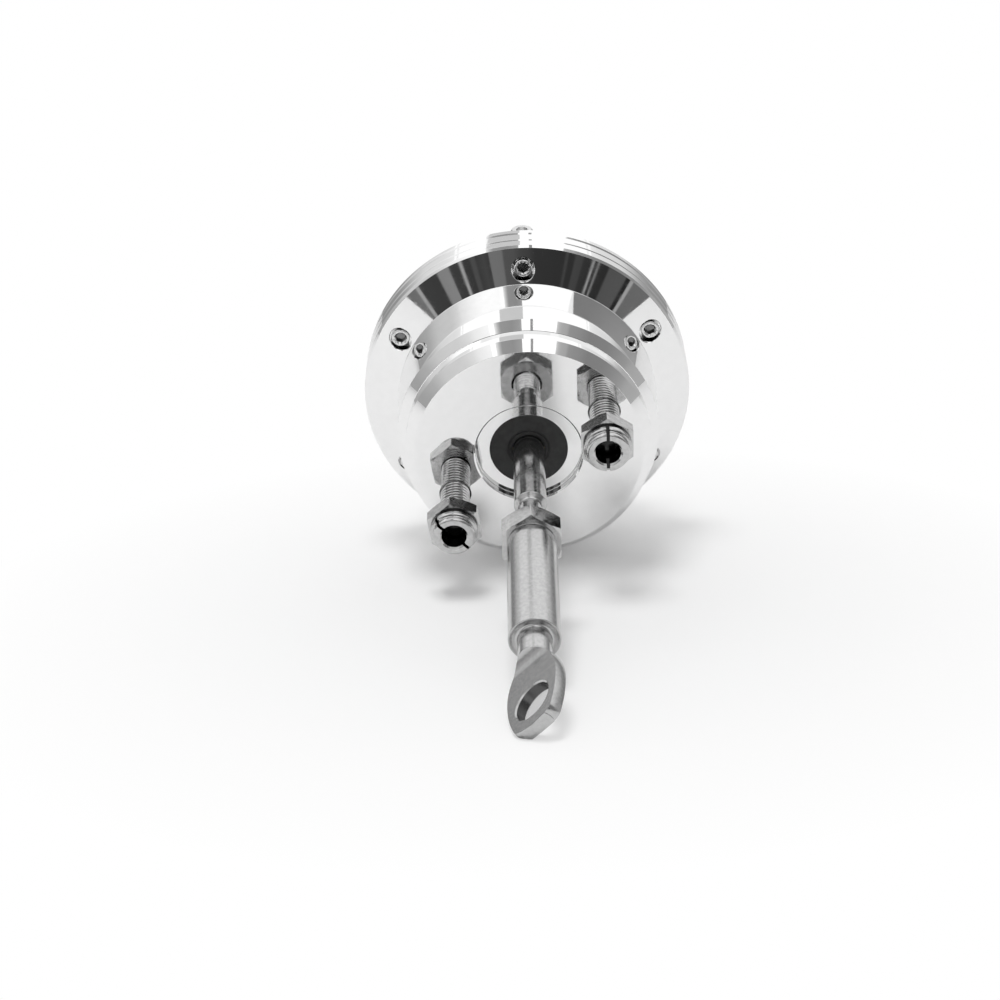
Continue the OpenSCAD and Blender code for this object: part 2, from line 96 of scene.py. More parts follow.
class Body(Enum):
    """The bodies that the pieces ride on."""

    CANISTER = "canister"
    ROD = "rod"
    JAM_NUT = "jam_nut"
    ROD_END = "rod_end"
    LOCK_NUT_RIGHT = "lock_nut_right"
    LOCK_NUT_LEFT = "lock_nut_left"


class Slot(Enum):
    """The record's material slots."""

    POLISHED = "polished_aluminium"
    MACHINED = "machined_aluminium"
    GROUND = "ground_steel"
    SATIN = "satin_steel"
    PLATED = "plated_steel"
    SCREW = "screw_steel"
    SPRING = "spring_steel"
    BRONZE = "bronze"
    RUBBER = "black_rubber"


class Strip(NamedTuple):
    """A smooth run of an outline: points in two dimensions and the outward normal at each."""

    points: Array
    normals: Array


@dataclass(frozen=True)
class Seat:
    """Where a shape stands: its own a, b and u directions and its origin, in the object's frame."""

    origin: tuple[float, float, float] = (0.0, 0.0, 0.0)
    a: tuple[float, float, float] = (1.0, 0.0, 0.0)
    b: tuple[float, float, float] = (0.0, 0.0, 1.0)
    u: tuple[float, float, float] = (0.0, -1.0, 0.0)

    def rows(self) -> Array:
        """Returns the three directions as the rows of a matrix."""
        return np.array([self.a, self.b, self.u])

    def moved(self, a: float, b: float, u: float = 0.0) -> Seat:
        """Returns this seat shifted along its own directions.

        Args:
            a: Shift along a.
            b: Shift along b.
            u: Shift along u.

        Returns:
            The shifted seat.
        """
        origin = np.array(self.origin) + np.array([a, b, u]) @ self.rows()
        return Seat(tuple(origin), self.a, self.b, self.u)

    def turned(self, degrees: float) -> Seat:
        """Returns this seat turned about its own u.

        Args:
            degrees: Angle from a towards b.

        Returns:
            The turned seat.
        """
        c, s = math.cos(math.radians(degrees)), math.sin(math.radians(degrees))
        a, b = np.array(self.a), np.array(self.b)
        return Seat(self.origin, tuple(c * a + s * b), tuple(c * b - s * a), self.u)


AXIS = Seat()
UPRIGHT = Seat((0.0, 38.5, 0.0), (1.0, 0.0, 0.0), (0.0, 1.0, 0.0), (0.0, 0.0, 1.0))


class Surface:
    """A mesh in the making: patches of quads that carry their exact normals.

    A patch also carries how much painted shade lies on it, from none to one, which the finish reads to darken
    hollows where shade falls.
    """

    def __init__(self, seat: Seat = AXIS) -> None:
        """Starts an empty surface whose patches are given in one seat's directions."""
        self.seat = seat
        self.painted_shade = 0.0
        self._shades: list[Array] = []
        self._points: list[Array] = []
        self._normals: list[Array] = []
        self._quads: list[Array] = []
        self._count = 0

    def grid(self, points: Array, normals: Array, wrap: bool = False, keep: Array | None = None) -> None:
        """Adds a grid of quads between neighbouring rows and columns.

        Args:
            points: Rows by columns by three, along the seat's a, b and u.
            normals: Outward normals, in the same shape or one that spreads to it.
            wrap: Whether the last column joins the first.
            keep: Which quads to make, rows by columns; all of them without it.
        """
        rows, columns = points.shape[:2]
        ids = self._count + np.arange(rows * columns).reshape(rows, columns)
        here = ids if wrap else ids[:, :-1]
        there = np.roll(ids, -1, axis=1) if wrap else ids[:, 1:]
        quads = np.stack([here[:-1], there[:-1], there[1:], here[1:]], axis=-1)
        quads = quads.reshape(-1, 4) if keep is None else quads[keep]
        frame = self.seat.rows()
        self._points.append(points.reshape(-1, 3) @ frame + np.array(self.seat.origin))
        self._normals.append(np.broadcast_to(normals, points.shape).reshape(-1, 3) @ frame)
        self._shades.append(np.full(rows * columns, self.painted_shade))
        self._quads.append(quads)
        self._count += rows * columns

    @contextmanager
    def paint_shade_on(self, painted_shade: float) -> Iterator[None]:
        """Lays painted shade on the patches that are added inside the with block."""
        before, self.painted_shade = self.painted_shade, painted_shade
        yield
        self.painted_shade = before

    def fan(self, loop: Array, normal: Array) -> None:
        """Closes a flat loop with triangles about its middle.

        Args:
            loop: The loop's points, along the seat's directions.
            normal: The outward normal.
        """
        middle = np.broadcast_to(loop.mean(axis=0), loop.shape)
        self.grid(np.stack([loop, middle]), normal, wrap=True)

    def mesh(self, name: str) -> bpy.types.Mesh:
        """Welds the patches and makes the mesh.

        Points that coincide become one, quads that a pole collapses become triangles, and each
        face is turned to agree with the normals that its corners were given.

        Args:
            name: The mesh's name.

        Returns:
            The mesh, in metres, with its exact corner normals.
        """
        points = np.concatenate(self._points) * MM
        normals = np.concatenate(self._normals)
        quads = np.concatenate(self._quads)
        corners = points[quads]
        facing = np.cross(corners[:, 2] - corners[:, 0], corners[:, 3] - corners[:, 1])
        inward = (facing * normals[quads].sum(axis=1)).sum(axis=1) < 0
        quads[inward] = quads[inward][:, ::-1]
        _, first, same = np.unique(np.round(points / WELD).astype(np.int64), axis=0,
                                   return_index=True, return_inverse=True)
        welded = same.reshape(-1)[quads]
        distinct = welded != np.roll(welded, 1, axis=1)
        whole = distinct.sum(axis=1) >= 3
        distinct, welded, quads = distinct[whole], welded[whole], quads[whole]
        totals = distinct.sum(axis=1)
        mesh = bpy.data.meshes.new(name)
        mesh.vertices.add(len(first))
        mesh.vertices.foreach_set("co", points[first].astype(np.float32).ravel())
        mesh.loops.add(int(totals.sum()))
        mesh.loops.foreach_set("vertex_index", welded[distinct].astype(np.int32))
        mesh.polygons.add(len(totals))
        mesh.polygons.foreach_set("loop_start", (np.cumsum(totals) - totals).astype(np.int32))
        mesh.polygons.foreach_set("use_smooth", np.ones(len(totals), dtype=bool))
        mesh.update(calc_edges=True)
        # Each corner keeps its patch's painted shade, which darkens the finish there.
        shade = mesh.attributes.new(PAINTED_SHADE_ATTRIBUTE, "FLOAT", "CORNER")
        shade.data.foreach_set("value", np.concatenate(self._shades)[quads][distinct].astype(np.float32))
        unit = normals[quads][distinct]
        mesh.normals_split_custom_set(unit / np.linalg.norm(unit, axis=1, keepdims=True))
        return mesh


def outline(corners: Sequence[tuple[float, float]], radii: float | Sequence[float] = 0.0,
            steps: int = 4) -> list[Strip]:
    """Rounds the corners of a closed outline.

    Each corner is replaced by the arc that touches both of its sides, whose normal turns evenly
    from one side's to the other's. A side between two arcs keeps its own normal.

    Args:
        corners: The outline's corners, in either order.
        radii: One radius for every corner, or one for each.
        steps: Steps in an arc; arcs of a millimetre and more get four times as many.

    Returns:
        The outline's strips, counter-clockwise, with outward normals.
    """
    points = np.array(corners, float)
    radius = np.broadcast_to(np.array(radii, float), len(points)).copy()
    ahead = np.roll(points, -1, axis=0)
    if (points[:, 0] * ahead[:, 1] - points[:, 1] * ahead[:, 0]).sum() < 0:
        points, radius = points[::-1], radius[::-1]
    out = np.roll(points, -1, axis=0) - points
    length = np.linalg.norm(out, axis=1)
    out /= length[:, None]
    into = np.roll(out, 1, axis=0)
    turn = np.arctan2(into[:, 0] * out[:, 1] - into[:, 1] * out[:, 0], (into * out).sum(axis=1))
    slope = np.maximum(np.tan(np.abs(turn) / 2), 1e-9)
    reach = np.minimum(radius * slope, 0.49 * np.minimum(length, np.roll(length, 1)))
    reach[radius <= 0] = 0.0
    radius = reach / slope
    begin, end = points - into * reach[:, None], points + out * reach[:, None]
    strips = []
    for i in range(len(points)):
        if reach[i] > 1e-6:
            count = steps * (4 if radius[i] >= 0.99 else 1)
            angle = turn[i] * np.linspace(0, 1, count + 1)
            first = np.array([into[i, 1], -into[i, 0]])
            c, s = np.cos(angle), np.sin(angle)
            normals = np.stack([c * first[0] - s * first[1], s * first[0] + c * first[1]], axis=1)
            side = math.copysign(radius[i], turn[i])
            strips.append(Strip(begin[i] - side * first + side * normals, normals))
        j = (i + 1) % len(points)
        normal = np.array([out[i, 1], -out[i, 0]])
        strips.append(Strip(np.stack([end[i], begin[j]]), np.stack([normal, normal])))
    return strips


def profile(corners: Corners, steps: int = 4) -> list[Strip]:
    """Gives the outline of corners that each come with their own radius.

    Args:
        corners: Radius, station and rounding of each corner.
        steps: Steps in a small arc.

    Returns:
        The outline's strips.
    """
    return outline([corner[:2] for corner in corners], [corner[2] for corner in corners], steps)


def round_axis(radius: Array, angle: Array, station: Array) -> Array:
    """Gives the points (r cos t, r sin t, u) for radii, angles and stations that spread to one shape."""
    return np.stack(np.broadcast_arrays(radius * np.cos(angle), radius * np.sin(angle), station), axis=-1)


def spin(strip: Strip, angle: Array) -> tuple[Array, Array]:
    """Carries a profile of radius and station round the axis.

    A point (r, u) becomes (r cos t, r sin t, u), and its normal turns with it.

    Args:
        strip: The profile.
        angle: Angles, one for each column, or rows by columns.

    Returns:
        The grid's points and normals.
    """
    points, normals = (round_axis(rows[:, :1], angle, rows[:, 1:]) for rows in strip)
    return points, normals


def revolve(surface: Surface, strips: Sequence[Strip], columns: int = 192, start: float = 0.0) -> None:
    """Adds a turned shape; strips that lie on the axis are left out.

    Args:
        surface: The surface to add to.
        strips: The profile, as radius and station.
        columns: Columns in a full turn.
        start: Angle of the first column, in radians.
    """
    angle = start + np.arange(columns) * FULL_TURN / columns
    for strip in strips:
        if strip.points[:, 0].max() > 1e-6:
            surface.grid(*spin(strip, angle), wrap=True)


def holed(points: Array, normals: Array, block: tuple[int, int, int, int],
          keep: Array) -> tuple[Array, Array]:
    """Leaves a block of quads out of a wrapped grid and gives the loop round it.

    Args:
        points: The grid's points.
        normals: The grid's normals.
        block: First and last row, first and last column; columns count round the turn.
        keep: The mask of quads, changed in place.

    Returns:
        The loop's points and normals, once round the block.
    """
    top, bottom, left, right = block
    count = points.shape[1]
    keep[top:bottom, np.arange(left, right) % count] = False
    across = np.arange(left, right + 1) % count
    down = np.arange(top, bottom + 1)
    rows = np.concatenate([np.full(len(across) - 1, top), down[:-1],
                           np.full(len(across) - 1, bottom), down[::-1][:-1]])
    cols = np.concatenate([across[:-1], np.full(len(down) - 1, across[-1]),
                           across[::-1][:-1], np.full(len(down) - 1, across[0])])
    return points[rows, cols], normals[rows, cols]


def without(strips: Sequence[Strip], *taken: Strip) -> list[Strip]:
    """Gives the strips that are not among those taken."""
    return [strip for strip in strips if not any(strip is own for own in taken)]


def straight(strips: Sequence[Strip], radius: float, station: float) -> Strip:
    """Finds the straight strip whose middle is nearest to a place.

    Args:
        strips: An outline's strips.
        radius: The place's radius.
        station: The place's station.

    Returns:
        The strip.
    """
    place = np.array([radius, station])
    flat = [s for s in strips if len(s.points) == 2]
    return min(flat, key=lambda s: float(np.hypot(*(s.points.mean(axis=0) - place))))


@dataclass(frozen=True)
class Pocket:
    """A round pocket: a bevelled mouth, a straight wall and a flat floor."""

    mouth_r: float
    wall_r: float
    bevel: float
    floor: float


def pierced_ring(surface: Surface, ring: Strip, circle: float, holes: Sequence[float], pocket: Pocket,
                 half_rows: float, half_columns: int, columns: int = 288) -> None:
    """Adds a flat or conical ring that faces forwards, with the same pocket sunk in it at each hole.

    The ring is a grid of radius and angle whose station changes evenly with the radius. The block
    of quads round each hole is left out, and straight lines join its edge to the pocket's mouth at
    the same bearing from the hole's centre. The mouth lies in the ring, so it takes the station
    that its own distance from the axis gives.

    Args:
        surface: The surface to add to.
        ring: The ring's straight strip of radius and station.
        circle: Radius of the circle that the holes stand on.
        holes: Angle of each hole, in degrees.
        pocket: The pocket.
        half_rows: Half the block's extent along the radius.
        half_columns: Half the block's extent, in columns.
        columns: Columns in a full turn; each hole's angle falls on one of them.
    """
    (inner, start), (outer, finish) = sorted(ring.points.tolist())
    slope = (finish - start) / (outer - inner)

    def raised(across: Array, up: Array, depth: float = 0.0) -> Array:
        """Puts points at the ring's station, or below it."""
        return np.stack([across, up, start + (np.hypot(across, up) - inner) * slope - depth], axis=-1)

    def facing(points: Array) -> Array:
        """Gives the ring's normals at some of its points."""
        far = np.hypot(points[..., 0], points[..., 1])
        still = np.ones_like(far)
        return np.stack([-slope * points[..., 0] / far, -slope * points[..., 1] / far, still], axis=-1)

    radius = np.concatenate([[inner], np.linspace(circle - half_rows, circle + half_rows, 7), [outer]])
    first = math.radians(holes[0])
    angle = first + np.arange(columns) * FULL_TURN / columns
    points = raised(radius[:, None] * np.cos(angle), radius[:, None] * np.sin(angle))
    keep = np.ones((len(radius) - 1, columns), dtype=bool)
    for degrees in holes:
        column = round((math.radians(degrees) - first) / FULL_TURN * columns)
        block = (1, 7, column - half_columns, column + half_columns)
        loop, slant = holed(points, facing(points), block, keep)
        middle = circle * np.array([math.cos(math.radians(degrees)), math.sin(math.radians(degrees))])
        bearing = np.arctan2(loop[:, 1] - middle[1], loop[:, 0] - middle[0])
        c, s = np.cos(bearing), np.sin(bearing)
        mouth = raised(middle[0] + pocket.mouth_r * c, middle[1] + pocket.mouth_r * s)
        across, up = middle[0] + pocket.wall_r * c, middle[1] + pocket.wall_r * s
        lip = raised(across, up, pocket.bevel)
        base = np.stack([across, up, np.full_like(c, pocket.floor)], axis=-1)
        surface.grid(np.stack([loop, mouth]), np.stack([slant, facing(mouth)]), wrap=True)
        surface.grid(np.stack([mouth, lip]), np.stack([-c, -s, np.ones_like(c)], axis=-1), wrap=True)
        surface.grid(np.stack([lip, base]), np.stack([-c, -s, np.zeros_like(c)], axis=-1), wrap=True)
        surface.fan(base, FORWARD)
    surface.grid(points, facing(points), wrap=True, keep=keep)


def hexagon(across_flats: float, corner: float, turn: float = 0.0, sides: int = 10) -> list[Strip]:
    """A hexagon's outline with a corner at the top and slightly rounded corners.

    Args:
        across_flats: Width across its flats.
        corner: Radius of its corners.
        turn: Angle that it is turned by, in degrees.
        sides: Steps along each flat.

    Returns:
        The outline's strips.
    """
    angle = np.radians(30 + 60 * np.arange(6) + turn)
    reach = across_flats / 2 / math.cos(math.pi / 6)
    strips = outline(np.stack([reach * np.cos(angle), reach * np.sin(angle)], axis=1), corner, 3)
    share = np.linspace(0, 1, sides + 1)[:, None]
    return [Strip(s.points[0] + share * (s.points[1] - s.points[0]), np.repeat(s.normals[:1], sides + 1, 0))
            if len(s.points) == 2 else s for s in strips]


@dataclass(frozen=True)
class HexNut:
    """A chamfered hexagon with a bore, between two stations."""

    across_flats: float
    rear: float
    front: float
    bore: float
    rear_cut: float
    front_cut: float
    turn: float = 0.0
    corner: float = 0.16
    bore_edge: float = 0.4
    # How much painted shade darkens the bore's bevels and walls.
    bore_painted_shade: float = 1.0

    def build(self, surface: Surface) -> None:
        """Adds the nut.

        Its flats follow the outline. Each end is cut by a cone of 30 degrees, so a flat ends where
        the outline's distance from the axis meets the cone, and the end face is what the cone leaves.

        Args:
            surface: The surface to add to.
        """
        reach = self.across_flats / 2 / math.cos(math.pi / 6)
        fall = math.tan(math.pi / 6)
        for strip in hexagon(self.across_flats, self.corner, self.turn):
            far = np.hypot(strip.points[:, 0], strip.points[:, 1])
            way = strip.points / far[:, None]
            ends = []
            for station, cut, sign in ((self.rear, self.rear_cut, -1), (self.front, self.front_cut, 1)):
                face_r = np.minimum(far, reach - cut)
                shoulder = station - sign * (far - face_r) * fall
                ends.append(shoulder)
                rim = np.column_stack([way * face_r[:, None], np.full(len(far), station)])
                lip = np.column_stack([strip.points, shoulder])
                mouth = np.column_stack([way * (self.bore + self.bore_edge), np.full(len(far), station)])
                wall = np.column_stack([way * self.bore, np.full(len(far), station - sign * self.bore_edge)])
                slant = np.column_stack([way * 0.5, np.full(len(far), sign * math.cos(math.pi / 6))])
                surface.grid(np.stack([rim, lip]), slant)
                surface.grid(np.stack([mouth, rim]), sign * FORWARD)
                edge = np.column_stack([-way * 0.7, np.full(len(far), sign * 0.7)])
                # The bore's bevel carries painted shade.
                with surface.paint_shade_on(self.bore_painted_shade):
                    surface.grid(np.stack([mouth, wall]), edge)
            sides = np.column_stack([strip.normals, np.zeros(len(far))])
            surface.grid(np.stack([np.column_stack([strip.points, end]) for end in ends]), sides)
            inside = [self.rear + self.bore_edge, self.front - self.bore_edge]
            walls = np.stack([np.column_stack([way * self.bore, np.full(len(far), u)]) for u in inside])
            # The bore's wall carries painted shade.
            with surface.paint_shade_on(self.bore_painted_shade):
                surface.grid(walls, np.column_stack([-way, np.zeros(len(far))]))


@dataclass(frozen=True)
class Thread:
    """A cut thread's profile."""

    crest: float
    depth: float
    pitch: float

    def radius(self, angle: Array, station: Array) -> Array:
        """The thread's radius where a station meets an angle.

        The phase is the station in pitches less the angle in turns. The radius stands at the crest
        for an eighth of it, falls along a straight flank, rests at the root and climbs back.

        Args:
            angle: Angles, in radians.
            station: Stations.

        Returns:
            Radii, in the shape that the two spread to.
        """
        phase = np.mod(station / self.pitch - angle / FULL_TURN, 1.0)
        fall = np.clip((np.abs(phase - 0.5) - 0.09) / 0.33, 0.0, 1.0)
        fall = fall * fall * (3 - 2 * fall) * 0.35 + fall * 0.65
        return self.crest - self.depth * (1.0 - fall)

    def wall(self, surface: Surface, stations: Array, envelope: Array, columns: int = 72) -> None:
        """Adds a threaded wall, nowhere further out than an envelope.

        Args:
            surface: The surface to add to.
            stations: The rows' stations.
            envelope: The largest radius at each station.
            columns: Columns in a full turn.
        """
        angle = np.arange(columns) * FULL_TURN / columns
        u = stations[:, None]
        points = round_axis(np.minimum(self.radius(angle, u), envelope[:, None]), angle, u)
        surface.grid(points, slopes(points), wrap=True)


def slopes(points: Array) -> Array:
    """Normals of a grid that wraps round an axis, from its neighbouring points.

    Args:
        points: The grid, rows by columns by three.

    Returns:
        Normals that point away from the axis.
    """
    along = np.gradient(points, axis=0)
    round_it = np.roll(points, -1, axis=1) - np.roll(points, 1, axis=1)
    normals = np.cross(round_it, along)
    normals /= np.maximum(np.linalg.norm(normals, axis=-1, keepdims=True), 1e-12)
    outward = (normals[..., :2] * points[..., :2]).sum(axis=-1, keepdims=True)
    return np.where(outward < 0, -normals, normals)


class Graph:
    """A material's nodes, with short calls for what every finish needs."""

    def __init__(self, name: str) -> None:
        """Starts a material that has only its shader."""
        self.material = bpy.data.materials.new(name)
        self.material.use_nodes = True
        self.tree = self.material.node_tree
        self.shader = self.tree.nodes["Principled BSDF"]
        self.place = self.tree.nodes.new("ShaderNodeTexCoord").outputs["Object"]

    def add(self, kind: str, **values: object) -> bpy.types.Node:
        """Adds a node.

        Args:
            kind: The node's type, without its common beginning.
            values: Its properties and inputs, with underscores for spaces; sockets are linked.

        Returns:
            The node.
        """
        node = self.tree.nodes.new("ShaderNode" + kind)
        for key, value in values.items():
            if key.islower() and hasattr(node, key):
                setattr(node, key, value)
                continue
            socket = node.inputs[key.replace("_", " ")]
            if isinstance(value, bpy.types.NodeSocket):
                self.tree.links.new(value, socket)
            else:
                socket.default_value = value
        return node

    def noise(self, scale: Sequence[float], detail: float = 3.0, rough: float = 0.55) -> bpy.types.NodeSocket:
        """Noise over the object's own coordinates, with cells of one over scale metres each way.

        Args:
            scale: Cells in a metre along x, y and z.
            detail: How many finer layers it has.
            rough: How strong the finer layers are.

        Returns:
            Its value, near a half on average.
        """
        mapped = self.add("Mapping", Vector=self.place, Scale=scale).outputs["Vector"]
        return self.add("TexNoise", Vector=mapped, Scale=1.0, Detail=detail, Roughness=rough).outputs[0]

    def spread(self, value: bpy.types.NodeSocket, low: float, high: float,
               begin: float = 0.35, end: float = 0.65) -> bpy.types.NodeSocket:
        """Maps a value between two limits onto another pair, and holds it there beyond them.

        Args:
            value: The value.
            low: Result at begin.
            high: Result at end.
            begin: Lower limit of the value.
            end: Upper limit of the value.

        Returns:
            The result.
        """
        values = {"From_Min": begin, "From_Max": end, "To_Min": low, "To_Max": high}
        return self.add("MapRange", Value=value, **values).outputs["Result"]

    def ramp(self, value: bpy.types.NodeSocket, low: Sequence[float], high: Sequence[float],
             begin: float = 0.35, end: float = 0.65) -> bpy.types.NodeSocket:
        """Maps a value onto a colour between two.

        Args:
            value: The value.
            low: Colour at begin.
            high: Colour at end.
            begin: Lower limit of the value.
            end: Upper limit of the value.

        Returns:
            The colour.
        """
        node = self.add("ValToRGB", Fac=value)
        for element, place, colour in zip(node.color_ramp.elements, (begin, end), (low, high)):
            element.position = place
            element.color = (*colour, 1.0)
        return node.outputs["Color"]

    def mix(self, first: bpy.types.NodeSocket, second: bpy.types.NodeSocket,
            operation: str = "MULTIPLY") -> bpy.types.NodeSocket:
        """Joins two values with one of the maths node's operations.

        Args:
            first: The first value.
            second: The second value.
            operation: The operation's name.

        Returns:
            The result.
        """
        node = self.add("Math", operation=operation)
        for i, value in enumerate((first, second)):
            self.tree.links.new(value, node.inputs[i])
        return node.outputs[0]

    def relief(self, heights: Sequence[tuple[bpy.types.NodeSocket, float]]) -> None:
        """Raises the surface by several heights, one on top of the other.

        Args:
            heights: Each height and the distance in metres that a height of one stands for.
        """
        normal = None
        for height, distance in heights:
            values = {"Height": height, "Distance": distance, "Strength": 1.0}
            if normal is not None:
                values["Normal"] = normal
            normal = self.add("Bump", **values).outputs["Normal"]
        self.link("Normal", normal)

    def link(self, name: str, value: bpy.types.NodeSocket) -> None:
        """Feeds one of the shader's inputs from a node."""
        self.tree.links.new(value, self.shader.inputs[name])

    def set(self, name: str, value: object) -> None:
        """Sets one of the shader's inputs to a constant."""
        self.shader.inputs[name].default_value = value


@dataclass(frozen=True)
class Metal:
    """A metal finish: its tone, its gloss and the marks that its making leaves.

    Marks are noise drawn out along one direction, so that it reads as lathe rings, grinding or
    polishing. Patches are where plating or handling changes the tone and the gloss, and waves are
    the slow unevenness of a surface that was polished by hand.
    """

    name: str
    tone: tuple[float, float]
    roughness: tuple[float, float]
    marks: tuple[float, float, float] = (900.0, 900.0, 900.0)
    mark_height: float = 2e-7
    patches: float = 700.0
    patch_height: float = 0.0
    wave_height: float = 0.0
    tint: tuple[float, float, float] = (1.0, 1.0, 1.0)
    # Share by which painted shade darkens the base colour where a mesh marks its hollows.
    painted_shade: float = 0.0

    def make(self) -> bpy.types.Material:
        """Makes the finish's material.

        Returns:
            The material.
        """
        graph = Graph(self.name)
        graph.set("Metallic", 1.0)
        patches = graph.noise((self.patches,) * 3, 3.0)
        marks = graph.noise(self.marks, 1.0)
        low, high = ([level * part for part in self.tint] for level in self.tone)
        shade = graph.ramp(patches, low, high)
        # Painted shade: the base colour is darkened where the mesh's corners carry painted shade.
        if self.painted_shade:
            shade_mask = graph.add("Attribute", attribute_name=PAINTED_SHADE_ATTRIBUTE).outputs["Fac"]
            unshaded_share = graph.spread(shade_mask, 1.0, 1.0 - self.painted_shade, 0.0, 1.0)
            shade = graph.add("VectorMath", operation="SCALE", Vector=shade, Scale=unshaded_share).outputs[0]
        graph.link("Base Color", shade)
        graph.link("Roughness", graph.spread(graph.mix(patches, marks, "ADD"), *self.roughness, 0.8, 1.2))
        heights = [(marks, self.mark_height), (graph.noise((90.0,) * 3, 1.0), self.wave_height),
                   (patches, self.patch_height)]
        graph.relief([(height, distance) for height, distance in heights if distance])
        return graph.material


@dataclass(frozen=True)
class Rubber:
    """Moulded black rubber with a faint bloom."""

    name: str = "black_rubber_skin"
    tone: tuple[float, float] = (0.018, 0.03)
    roughness: tuple[float, float] = (0.5, 0.62)

    def make(self) -> bpy.types.Material:
        """Makes the finish's material.

        Returns:
            The material.
        """
        graph = Graph(self.name)
        graph.set("Specular IOR Level", 0.4)
        bloom = graph.noise((900.0,) * 3, 4.0)
        graph.link("Base Color", graph.ramp(bloom, (self.tone[0],) * 3, (self.tone[1],) * 3))
        graph.link("Roughness", graph.spread(bloom, *self.roughness))
        graph.relief([(graph.noise((6000.0,) * 3, 2.0), 2e-6)])
        return graph.material


# The polished, satin, plated and screw finishes darken by painted shade in the hollows that their meshes
# mark.
FINISHES: dict[Slot, Metal | Rubber] = {
    Slot.POLISHED: Metal("polished_aluminium_mirror", (0.89, 0.91), (0.02, 0.05), mark_height=4e-8,
                         patches=500.0, wave_height=1.5e-6, painted_shade=0.9),
    Slot.MACHINED: Metal("machined_aluminium_rings", (0.72, 0.8), (0.22, 0.34), (60.0, 5000.0, 60.0), 1e-6),
    Slot.GROUND: Metal("ground_steel_rod", (0.42, 0.54), (0.12, 0.2), (1500.0, 300.0, 1500.0), 3e-7,
                       1100.0, 1e-6),
    Slot.SATIN: Metal("satin_steel_bar", (0.5, 0.56), (0.19, 0.24), (120.0, 5200.0, 120.0), 5e-8,
                      1500.0, 4e-7, painted_shade=0.9),
    Slot.PLATED: Metal("plated_steel_hexagon", (0.5, 0.6), (0.1, 0.17), (1500.0, 1500.0, 1500.0), 2e-7,
                       1100.0, 6e-7, painted_shade=0.94),
    Slot.SCREW: Metal("screw_steel_head", (0.7, 0.78), (0.14, 0.22), (1500.0, 1500.0, 1500.0), 3e-7,
                      1600.0, 6e-7, painted_shade=0.9),
    Slot.SPRING: Metal("spring_steel_wire", (0.2, 0.3), (0.3, 0.42), mark_height=1e-6),
    Slot.BRONZE: Metal("bronze_bush", (0.6, 0.75), (0.25, 0.35), (60.0, 4000.0, 60.0), 1e-6,
                       tint=(1.0, 0.78, 0.5)),
    Slot.RUBBER: Rubber(),
}


class Shop:
    """Makes each finish once, and puts finished pieces on their bodies."""

    def __init__(self) -> None:
        """Starts with no material made."""
        self._materials: dict[Slot, bpy.types.Material] = {}

    def finish(self, slot: Slot) -> bpy.types.Material:
        """Gives a slot's material.

        Args:
            slot: The record's slot.

        Returns:
            The material, made at the first call.
        """
        if slot not in self._materials:
            self._materials[slot] = FINISHES[slot].make()
        return self._materials[slot]

    def make(self, mesh: bpy.types.Mesh, slot: Slot, *nodes: str) -> bpy.types.Object:
        """Makes a piece of a mesh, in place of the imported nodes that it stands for.

        Args:
            mesh: The finished mesh.
            slot: The slot that it takes its finish from.
            nodes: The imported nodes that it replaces.

        Returns:
            The piece, which is on no body yet.
        """
        piece = bpy.data.objects.new(mesh.name, mesh)
        bpy.context.scene.collection.objects.link(piece)
        mesh.materials.append(self.finish(slot))
        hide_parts(*nodes)
        return piece

    def fit(self, mesh: bpy.types.Mesh, slot: Slot, body: Body, *nodes: str) -> bpy.types.Object:
        """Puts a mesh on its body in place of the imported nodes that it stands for.

        Args:
            mesh: The finished mesh.
            slot: The slot that it takes its finish from.
            body: The body that it rides on.
            nodes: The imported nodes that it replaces.

        Returns:
            The piece.
        """
        piece = self.make(mesh, slot, *nodes)
        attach(piece, body.value)
        LOG.info("%s: %d faces, on %s", piece.name, len(mesh.polygons), body.value)
        return piece

    def dress(self, node: bpy.types.Object, slot: Slot) -> None:
        """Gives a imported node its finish.

        Args:
            node: The node's object.
            slot: The slot of its finish.
        """
        node.data.materials.clear()
        node.data.materials.append(self.finish(slot))
        LOG.info("%s keeps its packed shape", node.name)


